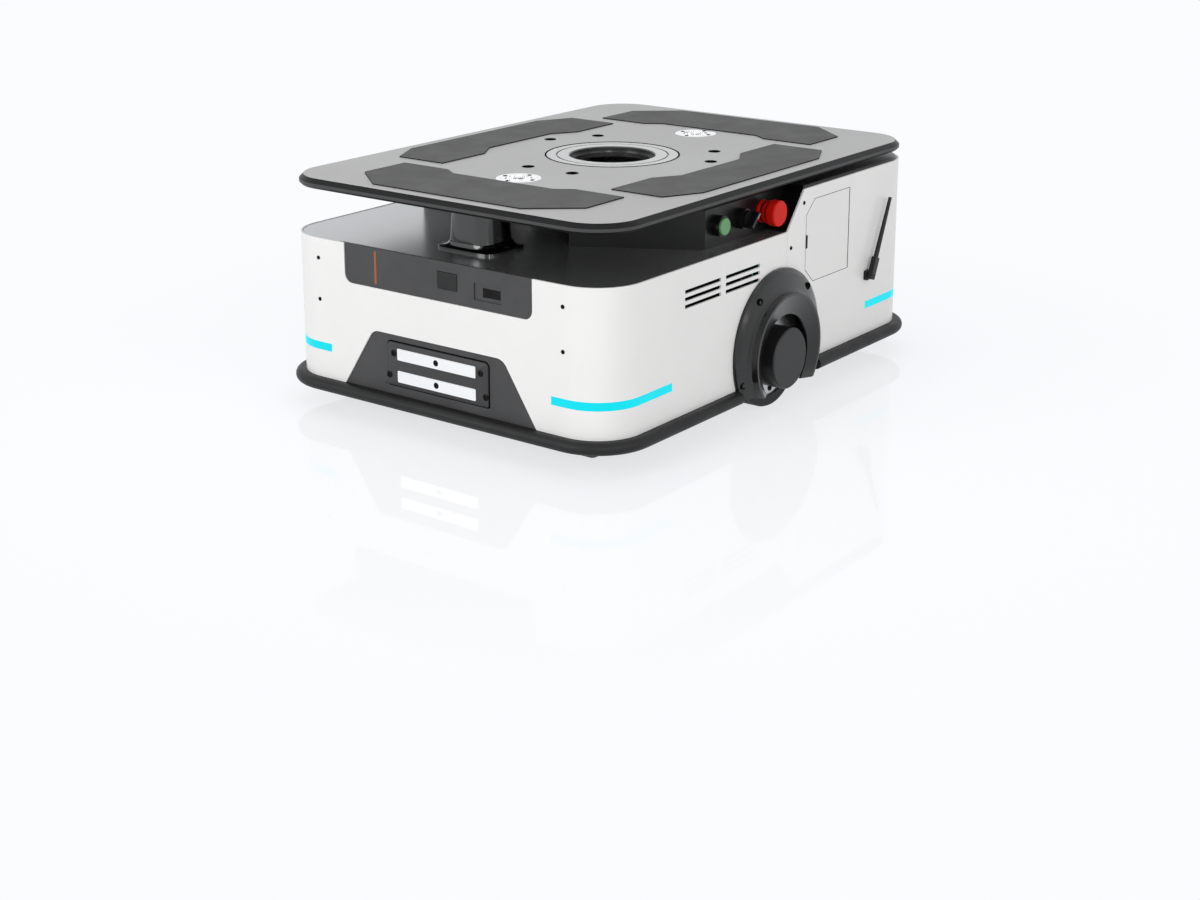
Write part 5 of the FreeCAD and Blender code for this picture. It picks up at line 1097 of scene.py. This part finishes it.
class ROBOT_OT_door_latch(bpy.types.Operator):
    """Adds the black pull of the access door."""

    bl_idname = "robot.door_latch"
    bl_label = "Door latch"

    def execute(self, context):
        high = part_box("access_door")[1]
        x, y, z = high.x - 0.0022, high.y - 0.0012, LATCH_HEIGHT
        steps = np.linspace(0, 2 * math.pi, 40, endpoint=False)
        corner = np.sign(np.cos(steps)) * np.abs(np.cos(steps)) ** 0.35
        rise = np.sign(np.sin(steps)) * np.abs(np.sin(steps)) ** 0.2
        path = np.stack([x + LATCH_HALF_WIDE * corner, np.full_like(steps, y),
                         z + LATCH_HALF_HIGH * rise], axis=-1)
        inward = -np.stack([corner, np.zeros_like(steps), rise], axis=-1)
        rows = [path + inward * 0.0012, path, path + np.array([0, 0.0019, 0]),
                path + np.array([0, LATCH_PROUD, 0]) + inward * 0.0006]
        middle = np.broadcast_to(np.array([x, y + LATCH_PROUD, z]), path.shape)
        foot = np.broadcast_to(np.array([x, y, z]), path.shape)
        points = np.stack([foot] + rows + [middle], axis=1).reshape(-1, 3)
        shape = points, grid_faces(len(steps), 6)
        piece("door_latch", shape, black_moulding(),
              "door_access")
        return {"FINISHED"}


class ROBOT_OT_camera_lens(bpy.types.Operator):
    """Adds the upward camera's lens, its holder and its ring of lamps."""

    bl_idname = "robot.camera_lens"
    bl_label = "Upward camera"

    def execute(self, context):
        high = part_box("camera")[1]
        top = high.z - 0.001
        bend = np.linspace(0, math.pi / 2, 13)
        dome = [(LENS_RADIUS * math.cos(b), top + LENS_RISE * math.sin(b)) for b in bend]
        lens = turned([(0.0, top - 0.001), (LENS_RADIUS, top - 0.001)] + dome, 64)
        piece("camera_lens", lens, made(clear_glass, "coated_lens_glass"), "base")
        holder = turned([(0.0132, top - 0.0012), (0.0205, top - 0.0012), (0.0205, top + 0.002),
                         (0.0195, top + 0.003), (0.0146, top + 0.003), (0.0132, top + 0.0015),
                         (0.0132, top - 0.0012)], 64)
        piece("lens_holder", holder, black_moulding(), "base")
        lamp = turned([(0.0, -0.0004), (0.0026, -0.0004), (0.0026, 0.0008), (0.0016, 0.0018),
                       (0.0, 0.0021)], 20)
        angles = np.arange(CAMERA_LAMPS) * 2 * math.pi / CAMERA_LAMPS
        spots = [(CAMERA_LAMP_CIRCLE * math.cos(a), CAMERA_LAMP_CIRCLE * math.sin(a),
                  high.z - CAMERA_LAMP_DROP) for a in angles]
        piece("camera_lamps", copies(lamp, spots, (0, 0, 1)),
              made(moulded_plastic, "lamp_lens", "D8D8D0", 0.2), "base")
        return {"FINISHED"}


class ROBOT_OT_wheel_nuts(bpy.types.Operator):
    """Adds the socket screws in the rims of the drive wheels."""

    bl_idname = "robot.wheel_nuts"
    bl_label = "Wheel screws"

    def execute(self, context):
        for side, sign in (("left", 1), ("right", -1)):
            low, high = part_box("wheel_hub_" + side)
            face = high.y if sign > 0 else low.y
            axle = JOINTS["drive_" + side]["pos_m"][2]
            angles = (np.arange(WHEEL_SCREWS) + 0.5) * 2 * math.pi / WHEEL_SCREWS
            spots = [(WHEEL_SCREW_CIRCLE * math.cos(a), face - sign * WHEEL_SCREW_SINK,
                      axle + WHEEL_SCREW_CIRCLE * math.sin(a)) for a in angles]
            head = turned(button_screw(0.0058, 0.003, 0.0028), 36, 6)
            piece("wheel_screws_" + side, copies(head, spots, (0, sign, 0)), black_steel(),
                  "drive_wheel_" + side)
        return {"FINISHED"}


class ROBOT_OT_selector_mark(bpy.types.Operator):
    """Adds the pale pointer line on the selector's handle."""

    bl_idname = "robot.selector_mark"
    bl_label = "Selector mark"

    def execute(self, context):
        spot = Vector(JOINTS["selector_turn"]["pos_m"])
        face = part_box("selector_knob")[1].y
        half = np.array([POINTER_HALF_WIDE, POINTER_HALF_LONG])
        around = (np.array([(-1, -1), (1, -1), (1, 1), (-1, 1)]) * half
                  + np.array([0.0, POINTER_REACH]))
        cosine, sine = math.cos(POINTER_TURN), math.sin(POINTER_TURN)
        x = around[:, 0] * cosine + around[:, 1] * sine
        z = -around[:, 0] * sine + around[:, 1] * cosine
        rows = [np.stack([spot.x + x, np.full(4, face + rise), spot.z + z], axis=-1)
                for rise in (-0.0004, 0.0003)]
        middles = [np.broadcast_to(row.mean(axis=0), row.shape) for row in rows]
        points = np.stack([middles[0], rows[0], rows[1], middles[1]], axis=1).reshape(-1, 3)
        piece("selector_mark", (points, grid_faces(4, 4)),
              made(moulded_plastic, "mark_grey", "9A9A97", 0.5), "knob_selector")
        return {"FINISHED"}


# ------------------------------------------------------------------ stage
class ROBOT_OT_stage(bpy.types.Operator):
    """Sets the pale floor, the soft lamps, the world and the camera."""

    bl_idname = "robot.stage"
    bl_label = "Stage"

    def execute(self, context):
        scene = context.scene
        scene.view_settings.view_transform = "Standard"
        bpy.ops.mesh.primitive_circle_add(vertices=96, radius=FLOOR_RADIUS, fill_type="NGON",
                                          location=(0, 0, 0))
        floor = context.active_object
        floor.name = "floor"
        floor.data.materials.append(pale_floor())
        self.world(scene)
        for lamp in LAMPS:
            self.lamp(*lamp)
        self.camera(scene)
        return {"FINISHED"}

    def world(self, scene):
        """A soft even sky, with a plain pale backdrop for what looks at it directly."""
        world = bpy.data.worlds.new("studio")
        world.use_nodes = True
        scene.world = world
        tree = world.node_tree
        tree.nodes.clear()
        seen = seen_directly(tree)
        soft = add_node(tree, "ShaderNodeBackground",
                        inputs={"Color": (1.0, 1.0, 1.0, 1.0), "Strength": SKY_LEVEL})
        shown = add_node(tree, "ShaderNodeBackground",
                         inputs={"Color": linear(BACKDROP), "Strength": 1.0})
        mix = add_node(tree, "ShaderNodeMixShader",
                       {0: seen, 1: soft.outputs["Background"],
                        2: shown.outputs["Background"]})
        add_node(tree, "ShaderNodeOutputWorld", {"Surface": mix.outputs["Shader"]})

    def lamp(self, name, spot, size, power):
        """A square soft box that looks at the middle of the robot."""
        data = bpy.data.lights.new(name, "AREA")
        data.size = size
        data.energy = power
        obj = bpy.data.objects.new(name, data)
        bpy.context.scene.collection.objects.link(obj)
        obj.location = spot
        aim = Vector(LAMP_AIM) - Vector(spot)
        obj.rotation_euler = aim.to_track_quat("-Z", "Y").to_euler()

    def camera(self, scene):
        """The camera on the robot's front left."""
        data = bpy.data.cameras.new("camera_view")
        data.sensor_width = CAMERA_SENSOR_MM
        data.sensor_fit = "HORIZONTAL"
        data.lens = CAMERA_LENS_MM
        data.shift_y = CAMERA_SHIFT
        obj = bpy.data.objects.new("camera_view", data)
        scene.collection.objects.link(obj)
        forward = Vector(CAMERA_FORWARD).normalized()
        right = forward.cross(Vector((0, 0, 1))).normalized()
        up = right.cross(forward)
        turn = Matrix((right, up, -forward)).transposed().to_4x4()
        obj.matrix_world = Matrix.Translation(CAMERA_PLACE) @ turn
        scene.camera = obj


def seen_directly(tree):
    """One where a camera ray, a mirrored ray or a ray through glass arrives, and nought elsewhere.

    It is the greatest of the three marks of the light path.
    """
    rays = add_node(tree, "ShaderNodeLightPath")
    plain_or_mirrored = add_node(tree, "ShaderNodeMath", {0: rays.outputs["Is Camera Ray"],
                                                          1: rays.outputs["Is Glossy Ray"]},
                                 operation="MAXIMUM")
    seen = add_node(tree, "ShaderNodeMath", {0: plain_or_mirrored.outputs["Value"],
                                             1: rays.outputs["Is Transmission Ray"]},
                    operation="MAXIMUM")
    return seen.outputs["Value"]


def pale_floor():
    """A pale floor that keeps the shadow and a faint mirror near the robot, and fades far off.

    What looks at it directly sees matt white plus a lift near the robot, and from half a metre
    to one and a third out it turns to the plain backdrop colour. Light that falls on it still
    sees a matt floor.
    """
    material = bpy.data.materials.new("pale_floor")
    material.use_nodes = True
    tree = material.node_tree
    tree.nodes.clear()
    seen = seen_directly(tree)
    plain = add_node(tree, "ShaderNodeBsdfDiffuse", inputs={"Color": linear("D9DADB")})
    matt = add_node(tree, "ShaderNodeBsdfDiffuse", inputs={"Color": linear("8C8D8E")})
    lift = add_node(tree, "ShaderNodeEmission",
                    inputs={"Color": linear(BACKDROP), "Strength": FLOOR_LIFT})
    both = add_node(tree, "ShaderNodeAddShader", {0: matt.outputs["BSDF"],
                                                  1: lift.outputs["Emission"]})
    mirror = add_node(tree, "ShaderNodeBsdfGlossy",
                      inputs={"Color": linear(BACKDROP), "Roughness": 0.03})
    polished = add_node(tree, "ShaderNodeMixShader", {1: both.outputs["Shader"],
                                                      2: mirror.outputs["BSDF"]},
                        inputs={"Fac": FLOOR_MIRROR})
    far = add_node(tree, "ShaderNodeEmission", inputs={"Color": linear(BACKDROP)})
    place = add_node(tree, "ShaderNodeTexCoord").outputs["Object"]
    reach = add_node(tree, "ShaderNodeVectorMath", {0: place}, operation="LENGTH")
    fade = add_node(tree, "ShaderNodeMapRange", {"Value": reach.outputs["Value"]},
                    interpolation_type="SMOOTHSTEP",
                    inputs={"From Min": FLOOR_FADE[0], "From Max": FLOOR_FADE[1]})
    shown = add_node(tree, "ShaderNodeMixShader",
                     {0: fade.outputs["Result"], 1: polished.outputs["Shader"],
                      2: far.outputs["Emission"]})
    mix = add_node(tree, "ShaderNodeMixShader",
                   {0: seen, 1: plain.outputs["BSDF"],
                    2: shown.outputs["Shader"]})
    add_node(tree, "ShaderNodeOutputMaterial", {"Surface": mix.outputs["Shader"]})
    return material


# ------------------------------------------------------------------ panel and registration
OPERATORS = (
    ROBOT_OT_stage,
    ROBOT_OT_shell,
    ROBOT_OT_platform,
    ROBOT_OT_front,
    ROBOT_OT_controls,
    ROBOT_OT_running_gear,
    ROBOT_OT_deck_sheet,
    ROBOT_OT_scanner,
    ROBOT_OT_flanges,
    ROBOT_OT_plate_trims,
    ROBOT_OT_contact_back,
    ROBOT_OT_door_seal,
    ROBOT_OT_cover_screws,
    ROBOT_OT_shell_screws,
    ROBOT_OT_platform_screws,
    ROBOT_OT_contact_screws,
    ROBOT_OT_stop_sleeve,
    ROBOT_OT_door_latch,
    ROBOT_OT_camera_lens,
    ROBOT_OT_wheel_nuts,
    ROBOT_OT_selector_mark,
)


class ROBOT_PT_panel(bpy.types.Panel):
    """Lists the operators in the sidebar."""

    bl_idname = "ROBOT_PT_panel"
    bl_label = "Mobile robot"
    bl_space_type = "VIEW_3D"
    bl_region_type = "UI"
    bl_category = "Robot"

    def draw(self, context):
        for operator in OPERATORS:
            self.layout.operator(operator.bl_idname)


CLASSES = (RobotColours, RobotSizes) + OPERATORS + (ROBOT_PT_panel,)


def register():
    """Registers the classes and hangs the settings on the scene."""
    for item in CLASSES:
        bpy.utils.register_class(item)
    bpy.types.Scene.robot_colours = bpy.props.PointerProperty(type=RobotColours)
    bpy.types.Scene.robot_sizes = bpy.props.PointerProperty(type=RobotSizes)


def unregister():
    """Takes everything away again."""
    del bpy.types.Scene.robot_sizes
    del bpy.types.Scene.robot_colours
    for item in reversed(CLASSES):
        bpy.utils.unregister_class(item)


def main():
    """Builds the whole look in order."""
    register()
    for operator in OPERATORS:
        group, name = operator.bl_idname.split(".")
        getattr(getattr(bpy.ops, group), name)()


if __name__ == "__main__":
    main()
